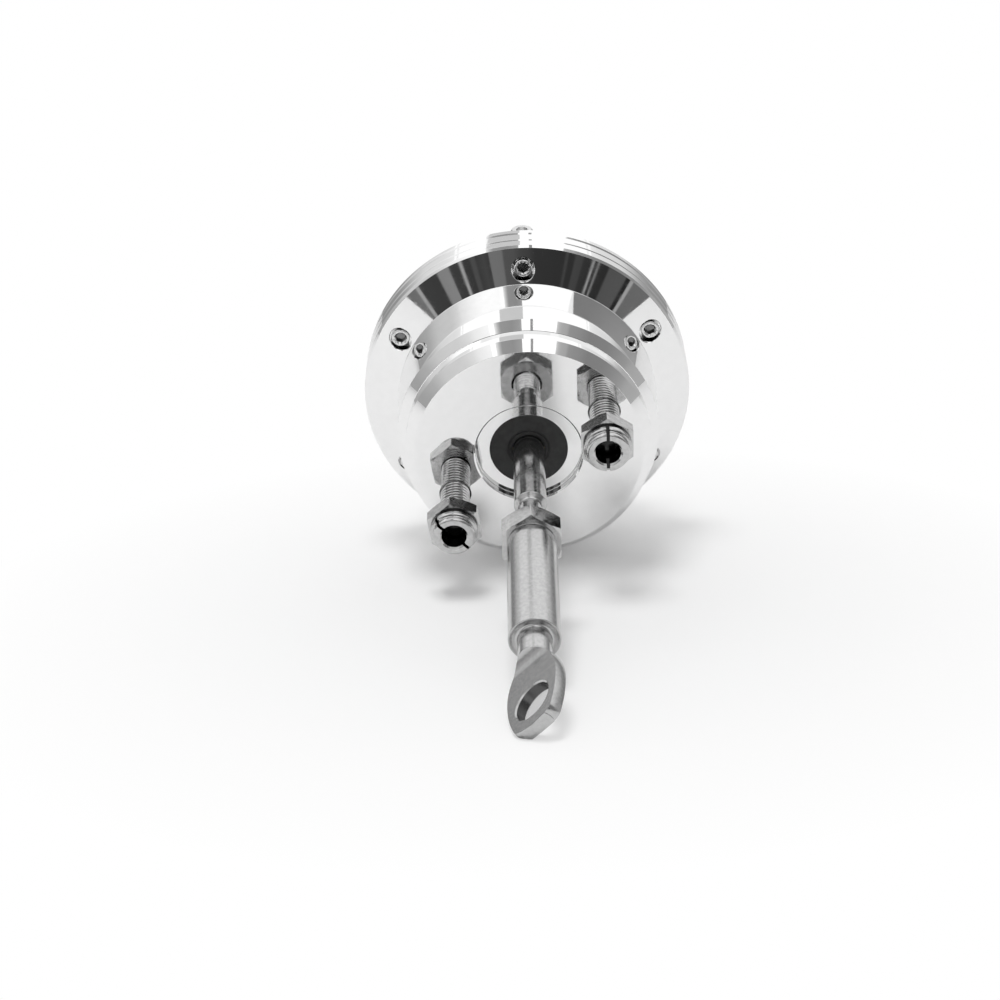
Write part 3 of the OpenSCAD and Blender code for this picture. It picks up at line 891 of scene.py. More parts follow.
@dataclass
class Canister:
    """The front housing, the middle ring and the rear cap, clamped by the cap screws."""

    rim_r: float = 34.4
    rim_chamfer: float = 0.45
    flange_front: float = -24.7
    flange_rear: float = -27.4
    ring_rear: float = -30.7
    cap_rear: float = -32.8
    bore_r: float = 23.2
    cone_root: tuple[float, float] = (27.2, -21.7)
    screw_circle: float = 29.9
    screw_head_r: float = 1.9
    screw_seat: float = -25.4
    screw_height: float = 2.0
    stud_circle: float = 17.75
    stud_angle: float = 30.65
    edge: float = 0.07
    columns: int = 288
    breather_station: float = -16.0
    breather_r: float = 1.25
    breather_depth: float = 24.4
    # How much painted shade darkens the face's recess wall and the screws' sockets.
    recess_painted_shade: float = 0.5
    socket_painted_shade: float = 0.8

    def build(self, shop: Shop) -> None:
        """Builds and fits the canister's visible pieces.

        Args:
            shop: Where pieces are finished and fitted.
        """
        shop.fit(self.housing(), Slot.POLISHED, Body.CANISTER, "front_housing")
        shop.fit(self.ring(), Slot.POLISHED, Body.CANISTER, "diaphragm_ring")
        shop.fit(self.cap(), Slot.POLISHED, Body.CANISTER, "rear_cap")
        shop.fit(self.screws(), Slot.SCREW, Body.CANISTER, "cap_screws")

    def housing(self) -> bpy.types.Mesh:
        """The housing: a turned profile whose cone is pierced for the screws, and its face for the studs.

        Returns:
            Its mesh.
        """
        surface = Surface()
        e = self.edge
        corners = [
            (self.bore_r, self.flange_rear, 0.0), (self.rim_r, self.flange_rear, 0.2),
            (self.rim_r, self.flange_front - self.rim_chamfer, e),
            (self.rim_r - self.rim_chamfer, self.flange_front, e), (*self.cone_root, 0.12),
            (26.7, -7.15, e), (25.0, -5.45, e), (24.7, -5.35, e), (24.7, -5.1, e), (25.0, -5.0, e),
            (25.0, -1.95, e), (23.05, 0.0, e), (11.1, 0.0, 0.1), (10.8, -0.3, 0.1), (10.8, -1.75, 0.12),
            (7.9, -1.75, e), (7.9, -4.55, 0.0), (3.8, -4.55, 0.0), (3.8, -9.5, 0.0), (21.7, -9.5, 0.0),
            (self.bore_r, -11.0, 0.0),
        ]
        strips = profile(corners)
        cone, barrel = straight(strips, 30.6, -23.2), straight(strips, 26.95, -14.5)
        face, recess = straight(strips, 17.0, 0.0), straight(strips, 10.8, -1.0)
        first = math.radians(30)
        revolve(surface, without(strips, cone, barrel, face, recess), self.columns, first)
        # The recess wall carries painted shade.
        with surface.paint_shade_on(self.recess_painted_shade):
            revolve(surface, [recess], self.columns, first)
        pierced_ring(surface, cone, self.screw_circle, [30 + 60 * i for i in range(6)],
                     Pocket(2.42, 2.32, 0.1, self.screw_seat), 2.72, 6)
        self._barrel(surface, barrel, first)
        surface.seat = AXIS.turned(self.stud_angle - 30)
        pierced_ring(surface, face, self.stud_circle, [30, 210], Pocket(3.295, 2.695, 0.6, -2.0), 4.2, 12)
        return surface.mesh("housing_body")

    def _barrel(self, surface: Surface, barrel: Strip, first: float) -> None:
        """Adds the tapered barrel with its breather hole underneath.

        The hole's rim is a circle in plan, and its height is the barrel's there: minus the root of
        the barrel's radius squared less the sideways distance squared.

        Args:
            surface: The surface to add to.
            barrel: The barrel's straight strip.
            first: Angle of the first column.
        """
        near, far = sorted(barrel.points.tolist(), key=lambda p: p[1])
        rows = np.concatenate([[near[1]], np.linspace(-18.2, -13.8, 7), [far[1]]])
        radius = near[0] + (rows - near[1]) * (far[0] - near[0]) / (far[1] - near[1])
        strip = Strip(np.stack([radius, rows], axis=1), np.repeat(barrel.normals[:1], len(rows), 0))
        angle = first + np.arange(self.columns) * FULL_TURN / self.columns
        points, normals = spin(strip, angle)
        keep = np.ones((len(rows) - 1, self.columns), dtype=bool)
        loop, slant = holed(points, normals, (1, 7, 187, 197), keep)
        bearing = np.arctan2(loop[:, 2] - self.breather_station, loop[:, 0])
        across = self.breather_r * np.cos(bearing)
        station = self.breather_r * np.sin(bearing) + self.breather_station
        wide = np.interp(station, rows, radius)
        rim = np.stack([across, -np.sqrt(wide**2 - across**2), station], axis=1)
        surface.grid(np.stack([loop, rim]), np.stack([slant, slant]), wrap=True)
        deep = rim * [1, 0, 1] + [0, -self.breather_depth, 0]
        inward = np.stack([-np.cos(bearing), np.zeros_like(bearing), -np.sin(bearing)], axis=1)
        surface.grid(np.stack([rim, deep]), inward, wrap=True)
        surface.fan(deep, np.array([0.0, -1.0, 0.0]))
        surface.grid(points, normals, wrap=True, keep=keep)

    def ring(self) -> bpy.types.Mesh:
        """The ring between the housing and the cap.

        Returns:
            Its mesh.
        """
        surface = Surface()
        c, e = self.rim_chamfer, self.edge
        corners = [(23.4, self.ring_rear, 0.0), (self.rim_r - c, self.ring_rear, 0.0),
                   (self.rim_r, self.ring_rear + c, e), (self.rim_r, self.flange_rear - c, e),
                   (self.rim_r - c, self.flange_rear, 0.0), (23.4, self.flange_rear, 0.0)]
        revolve(surface, profile(corners), self.columns)
        return surface.mesh("diaphragm_ring_body")

    def cap(self) -> bpy.types.Mesh:
        """The rear cap: a turned dome, bored for the screws and spot-faced for the hose nipple.

        Returns:
            Its mesh.
        """
        surface = Surface()
        c, e = self.rim_chamfer, self.edge
        corners = [
            (27.7, self.ring_rear, 0.0), (self.rim_r - c, self.ring_rear, 0.0),
            (self.rim_r, self.ring_rear - c, e), (self.rim_r, self.cap_rear + c, e),
            (self.rim_r - c, self.cap_rear, e), (32.9, self.cap_rear, 0.1), (32.6, -34.7, e),
            (25.0, -34.7, 1.0), (25.0, -49.5, 4.0), (0.0, -49.5, 0.0), (0.0, -47.2, 0.0),
            (22.0, -47.2, 2.5), (22.0, -31.5, 0.0), (27.7, -31.5, 0.0),
        ]
        revolve(surface, profile(corners, 3), 240)
        mesh = surface.mesh("rear_cap_body")
        cutter = Surface()
        for i in range(6):
            cutter.seat = AXIS.turned(90 + 60 * i).moved(self.screw_circle, 0.0)
            revolve(cutter, outline([(0, -36.0), (1.22, -36.0), (1.22, -31.6), (0, -31.6)]), 48)
        cutter.seat = UPRIGHT
        revolve(cutter, outline([(0, 24.4), (4.3, 24.4), (4.3, 37.0), (0, 37.0)]), 96)
        return carved(mesh, cutter.mesh("cap_cutter"))

    def screws(self) -> bpy.types.Mesh:
        """The six cap screws, each with a rounded head and a hexagon socket.

        Returns:
            Their mesh.
        """
        surface = Surface()
        top, entry = self.screw_seat + self.screw_height, 1.32
        corners = [(0, -34.5, 0), (1.2, -34.5, 0.3), (1.2, self.screw_seat, 0),
                   (self.screw_head_r, self.screw_seat, 0.08), (self.screw_head_r, top, 0.35),
                   (entry, top, 0.0), (entry, -30.0, 0.0), (0, -30.0, 0.0)]
        strips = profile(corners)
        inside = (straight(strips, entry, top / 2 - 15), straight(strips, entry / 2, -30.0))
        for i in range(6):
            surface.seat = AXIS.turned(90 + 60 * i).moved(self.screw_circle, 0.0).turned(11.0 * i)
            revolve(surface, without(strips, *inside), 48)
            self._socket(surface, entry, top)
        return surface.mesh("cap_screw_set")

    def _socket(self, surface: Surface, entry: float, top: float,
                across_flats: float = 2.0, depth: float = 1.0) -> None:
        """Adds a hexagon socket with a conical entry, one sixth at a time.

        The entry falls as much as it narrows, so it meets a side at the depth by which the side's
        distance from the middle is less than the entry's radius.

        Args:
            surface: The surface to add to.
            entry: Radius of the entry at the head's face.
            top: The head's station.
            across_flats: Width across the socket's flats.
            depth: The socket's depth.
        """
        reach = across_flats / 2 / math.cos(math.pi / 6)
        share = np.linspace(0, 1, 9)[:, None]
        for k in range(6):
            corner = np.radians([60 * k, 60 * k + 60])
            ends = reach * np.stack([np.cos(corner), np.sin(corner)], axis=1)
            side = ends[0] + share * (ends[1] - ends[0])
            far = np.hypot(side[:, 0], side[:, 1])
            way = side / far[:, None]
            inward = -side.mean(axis=0) / np.linalg.norm(side.mean(axis=0))
            floor = np.full(9, top - depth)
            mouth = np.column_stack([entry * way, np.full(9, top)])
            lip = np.column_stack([side, top - entry + far])
            foot, tip = np.column_stack([side, floor]), np.column_stack([0 * side, floor - 0.3])
            surface.grid(np.stack([mouth, lip]), np.column_stack([-way, np.ones(9)]))
            # The socket's sides and floor carry painted shade.
            with surface.paint_shade_on(self.socket_painted_shade):
                surface.grid(np.stack([lip, foot]), np.array([inward[0], inward[1], 0.0]))
                surface.grid(np.stack([foot, tip]), FORWARD)


def carved(mesh: bpy.types.Mesh, cutter: bpy.types.Mesh) -> bpy.types.Mesh:
    """Cuts one mesh out of another and works its normals out again, weighted by area.

    Args:
        mesh: The mesh to cut.
        cutter: What is cut away.

    Returns:
        The cut mesh, under the first one's name.
    """
    name = mesh.name
    objects = [bpy.data.objects.new("carving", mesh), bpy.data.objects.new("cutter", cutter)]
    for item in objects:
        bpy.context.scene.collection.objects.link(item)
    cut = objects[0].modifiers.new("cut", "BOOLEAN")
    cut.operation, cut.solver, cut.object = "DIFFERENCE", "EXACT", objects[1]
    bpy.context.view_layer.update()
    made = bpy.data.meshes.new_from_object(objects[0].evaluated_get(bpy.context.evaluated_depsgraph_get()))
    for item in objects:
        bpy.data.objects.remove(item)
    bpy.data.meshes.remove(cutter)
    bpy.data.meshes.remove(mesh)
    made.name = name
    area = np.zeros(len(made.polygons))
    made.polygons.foreach_get("area", area)
    normal = np.zeros(len(made.polygons) * 3)
    made.polygons.foreach_get("normal", normal)
    normal = normal.reshape(-1, 3)
    totals = np.zeros(len(made.polygons), dtype=np.int32)
    made.polygons.foreach_get("loop_total", totals)
    corner = np.zeros(len(made.loops), dtype=np.int32)
    made.loops.foreach_get("vertex_index", corner)
    face = np.repeat(np.arange(len(totals)), totals)
    made.normals_split_custom_set(weighted(corner, face, normal, area))
    return made


def weighted(corner: Array, face: Array, normal: Array, area: Array, limit: float = 25.0) -> Array:
    """Corner normals that follow the larger faces and break at sharp edges.

    A corner's normal is the sum of the normals of the faces round its vertex, each weighed by its
    area, that lie within the limit of its own face.

    Args:
        corner: Vertex of each corner.
        face: Face of each corner.
        normal: Each face's normal.
        area: Each face's area.
        limit: The largest angle that is smoothed over, in degrees.

    Returns:
        A normal for each corner.
    """
    order = np.argsort(corner, kind="stable")
    vertex, owner = corner[order], face[order]
    starts = np.flatnonzero(np.r_[True, vertex[1:] != vertex[:-1]])
    counts = np.diff(np.r_[starts, len(vertex)])
    width = counts.max()
    slots = np.minimum(starts[:, None] + np.arange(width), len(vertex) - 1)
    real = np.arange(width) < counts[:, None]
    around = owner[slots]
    weigh = np.where(real, area[around], 0.0)
    facing = normal[around]
    close = np.einsum("vik,vjk->vij", facing, facing) > math.cos(math.radians(limit))
    total = np.einsum("vij,vj,vjk->vik", close, weigh, facing)
    result = np.zeros((len(corner), 3))
    result[order] = total[real]
    return result / np.maximum(np.linalg.norm(result, axis=1, keepdims=True), 1e-20)


@dataclass
class Fixings:
    """The two threaded studs and their slit lock nuts."""

    circle: float = 17.75
    angle: float = 30.65
    thread: Thread = Thread(3.0, 0.55, 1.0)
    clamp: float = 9.85
    hex_front: float = 13.3
    front: float = 16.25
    stud_end: float = 12.35
    slit: float = 0.66
    slit_depth: float = 2.3
    mouth: float = 2.475
    turns: tuple[float, float] = (0.0, 8.0)
    slits: tuple[float, float] = (90.0, 137.0)
    root_r: float = 2.45
    held_r: float = 2.67
    tip_r: float = 2.07

    def build(self, shop: Shop) -> None:
        """Builds and fits both sides.

        Args:
            shop: Where pieces are finished and fitted.
        """
        sides = ((0, "right", Body.LOCK_NUT_RIGHT), (180, "left", Body.LOCK_NUT_LEFT))
        for i, (half_turn, name, body) in enumerate(sides):
            seat = AXIS.turned(self.angle + half_turn).moved(self.circle, 0.0).turned(-self.angle - half_turn)
            shop.fit(self.stud(seat, f"stud_{name}_thread"), Slot.PLATED, Body.CANISTER, f"stud_{name}")
            nut = self.nut(seat, self.turns[i], self.slits[i], f"lock_nut_{name}_body")
            shop.fit(nut, Slot.PLATED, body, f"lock_nut_{name}")

    def stud(self, seat: Seat, name: str) -> bpy.types.Mesh:
        """A stud: a thread that is held under an envelope inside its nut, and a plain end in its hole.

        Args:
            seat: Where it stands.
            name: The mesh's name.

        Returns:
            Its mesh.
        """
        surface = Surface(seat)
        end, begin, nut, angle = self.stud_end, -1.4, 9.8, np.arange(72) * FULL_TURN / 72
        free = self.thread.crest
        knots = [[-0.4, 0.0, 9.5, nut, end - 0.6, end],
                 [self.held_r, free, free, self.held_r, self.held_r, self.tip_r]]
        stations = np.linspace(begin, nut, 180)
        self.thread.wall(surface, stations, np.interp(stations, *knots))
        stations = np.linspace(nut, end, 40)
        rings = [round_axis(r, angle, u) for r, u in ((2.0, -8.0), (self.root_r, -7.5), (self.root_r, begin))]
        outer = np.minimum(self.thread.radius(angle, np.array(begin)), self.held_r)
        shoulder = round_axis(outer, angle, begin)
        outward = round_axis(1.0, angle, 0.0)
        # The stud's thread from its nut to its tip, its plain end in the hole and its tip carry full painted
        # shade.
        with surface.paint_shade_on(1.0):
            self.thread.wall(surface, stations, np.interp(stations, *knots))
            surface.fan(rings[0], -FORWARD)
            surface.grid(np.stack(rings[:2]), outward - FORWARD, wrap=True)
            surface.grid(np.stack(rings[1:]), outward, wrap=True)
            surface.grid(np.stack([rings[2], shoulder]), -FORWARD, wrap=True)
            surface.fan(round_axis(self.tip_r, angle, stations[-1]), FORWARD)
        return surface.mesh(name)

    def nut(self, seat: Seat, turn: float, slit_turn: float, name: str) -> bpy.types.Mesh:
        """A lock nut: a chamfered hexagon under a collar that is slit across.

        Args:
            seat: Where it stands.
            turn: The hexagon's turn, in degrees.
            slit_turn: The slit's direction, in degrees.
            name: The mesh's name.

        Returns:
            Its mesh.
        """
        surface = Surface(seat)
        HexNut(10.0, self.clamp, self.hex_front, 2.72, 0.7, 0.7, turn).build(surface)
        low, root, hf = self.front - self.slit_depth, self.hex_front - 0.3, self.hex_front
        # The bore between the hexagon and the collar carries full painted shade.
        with surface.paint_shade_on(1.0):
            revolve(surface, outline([(self.mouth, root), (4.7, root), (4.7, low), (self.mouth, low)]), 96)
        strips = profile([
            (self.mouth, low - 0.02, 0), (4.7, low - 0.02, 0), (4.7, hf + 1.5, 0.8), (4.2, hf + 1.75, 0.2),
            (4.2, self.front, 0.6), (self.mouth + 0.35, self.front, 0.05),
            (self.mouth, self.front - 0.3, 0.05)], 5)
        for half in (0.0, 180.0):
            surface.seat = seat.turned(slit_turn + half)
            self._half_collar(surface, strips)
        return surface.mesh(name)

    def _half_collar(self, surface: Surface, strips: Sequence[Strip]) -> None:
        """Adds one half of a slit collar.

        A profile point at radius r sweeps from the slit's wall on one side to its wall on the
        other, from the angle whose sine is half the slit's width over r to a half turn less that.

        Args:
            surface: The surface to add to.
            strips: The collar's closed profile.
        """
        half = self.slit / 2
        share = np.linspace(0, 1, 41)
        for strip in strips:
            edge = np.arcsin(half / strip.points[:, :1])
            # The collar's bore strips carry full painted shade, the rest none.
            inside = float(strip.points[:, 0].max() < self.mouth + 0.01)
            with surface.paint_shade_on(inside):
                surface.grid(*spin(strip, edge + share * (math.pi - 2 * edge)))
        loop = np.concatenate([s.points[:-1] for s in strips])
        across = np.sqrt(loop[:, 0] ** 2 - half**2)
        for sign in (-1, 1):
            wall = np.stack([sign * across, np.full(len(loop), half), loop[:, 1]], axis=1)
            # The slit's walls carry full painted shade.
            with surface.paint_shade_on(1.0):
                surface.fan(wall, np.array([0.0, -1.0, 0.0]))


@dataclass
class RodSet:
    """The push rod, its jam nut, the rod end with its milled eye, and the dust seal."""

    rod_r: float = 3.175
    sleeve_rear: float = 33.65
    sleeve_front: float = 64.0
    sleeve_r: float = 4.7
    neck_r: float = 3.05
    neck_front: float = 69.9
    widest: float = 78.3
    eye_half: float = 5.95
    eye_front: float = 88.2
    flat_half: float = 1.2
    flat_start: float = 72.2
    run_out: float = 2.7
    hole: float = 81.9
    hole_r: float = 3.8
    hole_edge: float = 0.25
    eye_angle: float = 44.3
    relief_r: float = 2.3
    thread_rear: float = 23.7
    thread: Thread = Thread(2.87, 0.4, 1.06)
    # How much painted shade darkens the eye hole's wall.
    eye_painted_shade: float = 0.85

    def build(self, shop: Shop) -> None:
        """Builds and fits the moving pieces and the seal that they pass through.

        Args:
            shop: Where pieces are finished and fitted.
        """
        shop.fit(self.rod(), Slot.GROUND, Body.ROD, "actuator_rod")
        shop.fit(self.jam_nut(), Slot.PLATED, Body.JAM_NUT, "jam_nut")
        shop.fit(self.rod_end(), Slot.SATIN, Body.ROD_END, "rod_end")
        shop.fit(self.seal(), Slot.RUBBER, Body.CANISTER, "dust_seal")

    def rod(self) -> bpy.types.Mesh:
        """The rod: a turned bar with a relief neck, in front of which it is threaded.

        Returns:
            Its mesh.
        """
        surface = Surface()
        corners = [(0, -46.2, 0), (2.5, -46.2, 0.4), (2.5, -35.5, 0), (self.rod_r, -35.5, 0.1),
                   (self.rod_r, 19.7, 0.3), (self.relief_r, 20.5, 0.5),
                   (self.relief_r, self.thread_rear, 0.0), (0, self.thread_rear, 0)]
        revolve(surface, profile(corners)[:-2], 96)
        crest = self.thread.crest
        stations = np.arange(self.thread_rear, 46.001, self.thread.pitch / 16)
        envelope = np.interp(stations, [self.thread_rear, 24.3, 45.4, 46.0],
                             [self.relief_r, crest, crest, self.relief_r])
        self.thread.wall(surface, stations, envelope, 96)
        angle = np.arange(96) * FULL_TURN / 96
        end = np.minimum(self.thread.radius(angle, stations[-1]), envelope[-1])
        surface.fan(round_axis(end, angle, stations[-1]), FORWARD)
        return surface.mesh("actuator_rod_bar")

    def jam_nut(self) -> bpy.types.Mesh:
        """The jam nut.

        Returns:
            Its mesh.
        """
        surface = Surface()
        HexNut(11.1, 29.0, 33.6, 2.91, 0.75, 0.75).build(surface)
        return surface.mesh("jam_nut_body")

    def rod_end(self) -> bpy.types.Mesh:
        """The rod end: a turned sleeve and neck, and a turned head milled flat on two sides.

        Returns:
            Its mesh.
        """
        surface = Surface(AXIS.turned(self.eye_angle))
        head_rear = self.flat_start - self.run_out
        corners = [(0, self.sleeve_rear, 0), (self.sleeve_r, self.sleeve_rear, 0.35),
                   (self.sleeve_r, self.sleeve_front, 0.35),
                   (self.neck_r + 0.95, self.sleeve_front - 0.3, 0.05),
                   (self.neck_r, self.sleeve_front - 0.3, 0.85), (self.neck_r, head_rear, 0),
                   (0, head_rear, 0)]
        behind = [s for s in profile(corners) if s.points[:, 1].min() < head_rear - 1e-6]
        revolve(surface, behind, 96)
        self._head(surface, head_rear)
        return surface.mesh("rod_end_body")

    def _profile(self, station: Array) -> tuple[Array, Array]:
        """The head's turned radius and its slope.

        It swells along one arc from the neck to its widest station, narrows along a flatter one,
        turns in over a small arc, and ends in a low dome.

        Args:
            station: Stations.

        Returns:
            Radii, and their change with the station.
        """
        swell, run = self.eye_half - self.neck_r, self.widest - self.neck_front
        rear_r = (run**2 + swell**2) / (2 * swell)
        back = self.eye_half - rear_r + np.sqrt(np.maximum(rear_r**2 - (station - self.widest) ** 2, 0))
        fore = self.eye_half - 24 + np.sqrt(24**2 - (station - self.widest) ** 2)
        r = np.where(station < self.neck_front, self.neck_r, np.where(station < self.widest, back, fore))
        tip = self.eye_front - station
        edge = fore - 0.9 + np.sqrt(np.maximum(0.81 - np.maximum(1.4 - tip, 0) ** 2, 0))
        dome = np.maximum(tip, 0) / 0.2 * (self.eye_half - 3.7)
        r = np.where(tip < 1.4, edge, r)
        r = np.where(tip < 0.62, np.minimum(r, dome + 0.9 * np.maximum(tip, 0)), r)
        r = np.maximum(r, 0.0)
        return r, np.gradient(r, station)

    def _head(self, surface: Surface, rear: float) -> None:
        """Adds the milled head.

        Each cross-section is the turned circle cut by two parallel lines. Their half distance is
        the flat's, and behind the flat it grows along the cutter's arc, until it leaves the circle.

        Args:
            surface: The surface to add to.
            rear: The station where the cutter's arc begins.
        """
        block = self.hole + np.linspace(-4.72, 4.72, 19)
        dome = self.eye_front - 0.62
        u = np.unique(np.concatenate([
            np.linspace(rear, self.neck_front, 6), np.linspace(self.neck_front, self.flat_start, 20),
            np.linspace(self.flat_start, block[0], 10), block, np.linspace(block[-1], dome, 6),
            self.eye_front - 0.62 * np.cos(np.linspace(0, math.pi / 2, 12))]).round(6))
        r, slope = self._profile(u)
        back = np.clip(self.flat_start - u, 0, self.run_out)
        half = np.minimum(self.flat_half + self.run_out - np.sqrt(self.run_out**2 - back**2), r)
        wide = np.sqrt(np.maximum(r**2 - half**2, 0))
        lift = np.where(back > 0, back / np.sqrt(np.maximum(self.run_out**2 - back**2, 0.09)), 0.0)
        steep = np.arctan2(half, wide)[:, None]
        length = np.hypot(1.0, slope)[:, None]
        for turn in (0.0, math.pi):
            angle = turn + steep * np.linspace(-1, 1, 17)
            points = round_axis(r[:, None], angle, u[:, None])
            surface.grid(points, round_axis(1 / length, angle, -slope[:, None] / length))
        share = np.linspace(-1, 1, 25)
        top, bottom = int(np.argmin(abs(u - block[0]))), int(np.argmin(abs(u - block[-1])))
        for sign in (-1.0, 1.0):
            flat = (wide[:, None] * share, sign * half[:, None], u[:, None])
            points = np.stack(np.broadcast_arrays(*flat), axis=-1)
            normals = np.stack(np.broadcast_arrays(0 * points[..., 0], sign, lift[:, None]), axis=-1)
            keep = np.ones((len(u) - 1, 24), dtype=bool)
            keep[top:bottom, 1:23] = False
            surface.grid(points, normals, keep=keep)
            self._eye_side(surface, points, (top, bottom, 1, 23), sign)

    def _eye_side(self, surface: Surface, points: Array, block: tuple[int, int, int, int],
                  sign: float) -> None:
        """Joins one flat to the hole, and adds half of the hole's wall.

        Args:
            surface: The surface to add to.
            points: The flat's grid.
            block: The rows and columns that the hole takes out of it.
            sign: The flat's side.
        """
        top, bottom, left, right = block
        loop = np.concatenate([points[top, left:right], points[top:bottom, right],
                               points[bottom, left + 1:right + 1][::-1],
                               points[top + 1:bottom + 1, left][::-1]])
        bearing = np.arctan2(loop[:, 2] - self.hole, loop[:, 0])
        c, s = np.cos(bearing), np.sin(bearing)
        rings = [(self.hole_r + self.hole_edge, sign * self.flat_half),
                 (self.hole_r, sign * (self.flat_half - self.hole_edge)), (self.hole_r, 0.0)]
        rails = [np.stack([r * c, np.full_like(c, b), self.hole + r * s], axis=1) for r, b in rings]
        outward = np.array([0.0, sign, 0.0])
        inward = np.stack([-c, np.zeros_like(c), -s], axis=1)
        surface.grid(np.stack([loop, rails[0]]), outward, wrap=True)
        surface.grid(np.stack(rails[:2]), inward + outward, wrap=True)
        # The hole's wall carries painted shade.
        with surface.paint_shade_on(self.eye_painted_shade):
            surface.grid(np.stack(rails[1:]), inward, wrap=True)

    def seal(self) -> bpy.types.Mesh:
        """The dust seal, with a lip that hugs the rod.

        Returns:
            Its mesh.
        """
        surface = Surface()
        corners = [(4.1, -4.55, 0), (7.9, -4.55, 0), (7.9, -1.75, 0.15), (4.35, -1.75, 0.25),
                   (3.85, -2.1, 0.2), (3.5, -1.66, 0.08), (3.215, -1.85, 0.05), (3.215, -2.4, 0.1),
                   (3.7, -3.1, 0)]
        revolve(surface, profile(corners, 5), 144)
        return surface.mesh("dust_seal_ring")


@dataclass
class HosePort:
    """The hose nipple that stands on the rear cap."""

    hex_rear: float = 25.1
    hex_front: float = 27.9
    tip: float = 31.9

    def build(self, shop: Shop) -> None:
        """Builds and fits the nipple.

        Args:
            shop: Where pieces are finished and fitted.
        """
        surface = Surface(UPRIGHT)
        HexNut(7.0, self.hex_rear, self.hex_front, 1.9, 0.1, 0.5, 30.0, 0.1, 0.05).build(surface)
        base = self.hex_rear + 0.1
        corners = [(0.6, 22.2, 0), (2.48, 22.2, 0), (2.48, base, 0), (2.0, base, 0),
                   (2.0, self.hex_front, 0.3), (2.0, 29.5, 0.2), (2.5, 29.6, 0.1), (2.5, 31.2, 0.1),
                   (2.0, self.tip, 0.1), (1.2, self.tip, 0.1), (0.6, self.tip - 2.5, 0)]
        revolve(surface, profile(corners), 96)
        shop.fit(surface.mesh("hose_nipple_body"), Slot.MACHINED, Body.CANISTER, "hose_nipple")


@dataclass
class Spring:
    """The main spring, whose rear end bears on the piston and whose front end stays on its seat; here it is
    made at rest and rides on no body.
    """

    wire_r: float = 1.25
    mean_r: float = 14.2
    turns: float = 4.8
    dead_turns: float = 1.0
    rear: float = -35.47
    front: float = -10.33
    sides: int = 20

    def build(self, shop: Shop) -> None:
        """Builds the spring at rest in place of the imported one; it rides on no body and is not squeezed
        when the rod comes out.

        Args:
            shop: Where pieces are finished and fitted.
        """
        piece = shop.make(self.coil(), Slot.SPRING, "main_spring")
        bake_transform(piece)
        LOG.info("%s: %d faces, between two bodies", piece.name, len(piece.data.polygons))

    def coil(self) -> bpy.types.Mesh:
        """The coil, ground flat at both ends.

        The wire's middle is (R cos t, R sin t, h(t)), where h climbs nine tenths of a wire's radius
        in each closed end turn and eases in and out of them. Its surface stands off by the wire's
        radius at every angle round it, and what passes the two end planes is laid flat on them.

        Returns:
            Its mesh.
        """
        surface = Surface()
        turn = np.linspace(0, self.turns, round(self.turns * 60) + 1)[:, None]
        around = np.arange(self.sides) * FULL_TURN / self.sides
        live = self.turns - 2 * self.dead_turns
        share = np.clip((turn - self.dead_turns) / live, 0, 1)
        closed = np.minimum(turn, self.dead_turns) + np.maximum(0, turn - self.turns + self.dead_turns)
        lift = 0.9 * self.wire_r * closed
        climb = self.front - self.rear - 1.1 * self.wire_r - 1.8 * self.wire_r * self.dead_turns
        middle = self.rear + 0.55 * self.wire_r + lift + climb * (share - 0.06 * np.sin(FULL_TURN * share))
        angle, still = turn * FULL_TURN, np.ones_like(turn * around)
        c, s, c_wire, s_wire = np.cos(angle), np.sin(angle), np.cos(around), np.sin(around)
        radius = self.mean_r + self.wire_r * c_wire
        station = np.clip(middle + self.wire_r * s_wire, self.rear, self.front)
        points = np.stack([radius * c, radius * s, station], axis=-1)
        surface.grid(points, np.stack([c_wire * c, c_wire * s, s_wire * still], axis=-1), wrap=True)
        for row, sign in ((0, -1.0), (-1, 1.0)):
            surface.fan(points[row], sign * np.array([-s[row, 0], c[row, 0], 0.0]))
        return surface.mesh("main_spring_coil")


@dataclass
class Inside:
    """What the closed canister hides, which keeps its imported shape."""

    finishes: dict[str, Slot] = field(default_factory=lambda: {
        "diaphragm": Slot.RUBBER, "piston": Slot.MACHINED, "retainer_plate": Slot.MACHINED,
        "piston_washer": Slot.PLATED, "piston_nut": Slot.PLATED, "spring_seat": Slot.PLATED,
        "rod_bush": Slot.BRONZE, "bush_circlip": Slot.SPRING, "nipple_seal": Slot.RUBBER})

    def build(self, shop: Shop, nodes: dict[str, bpy.types.Object]) -> None:
        """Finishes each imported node.

        Args:
            shop: Where finishes are made.
            nodes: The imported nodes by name.
        """
        for name, slot in self.finishes.items():
            shop.dress(nodes[name], slot)


@dataclass(frozen=True)
class Panel:
    """Something that stands round the studio and is seen only in the metal.

    It spans bearings and heights as seen from the object, in degrees. Its tone is what across gives
    at a bearing, times what up gives at a height.
    """

    name: str
    bearing: tuple[float, float]
    height: tuple[float, float]
    across: Tones
    up: Tones = ((0.0, 1.0),)
    distance: float = 1.5


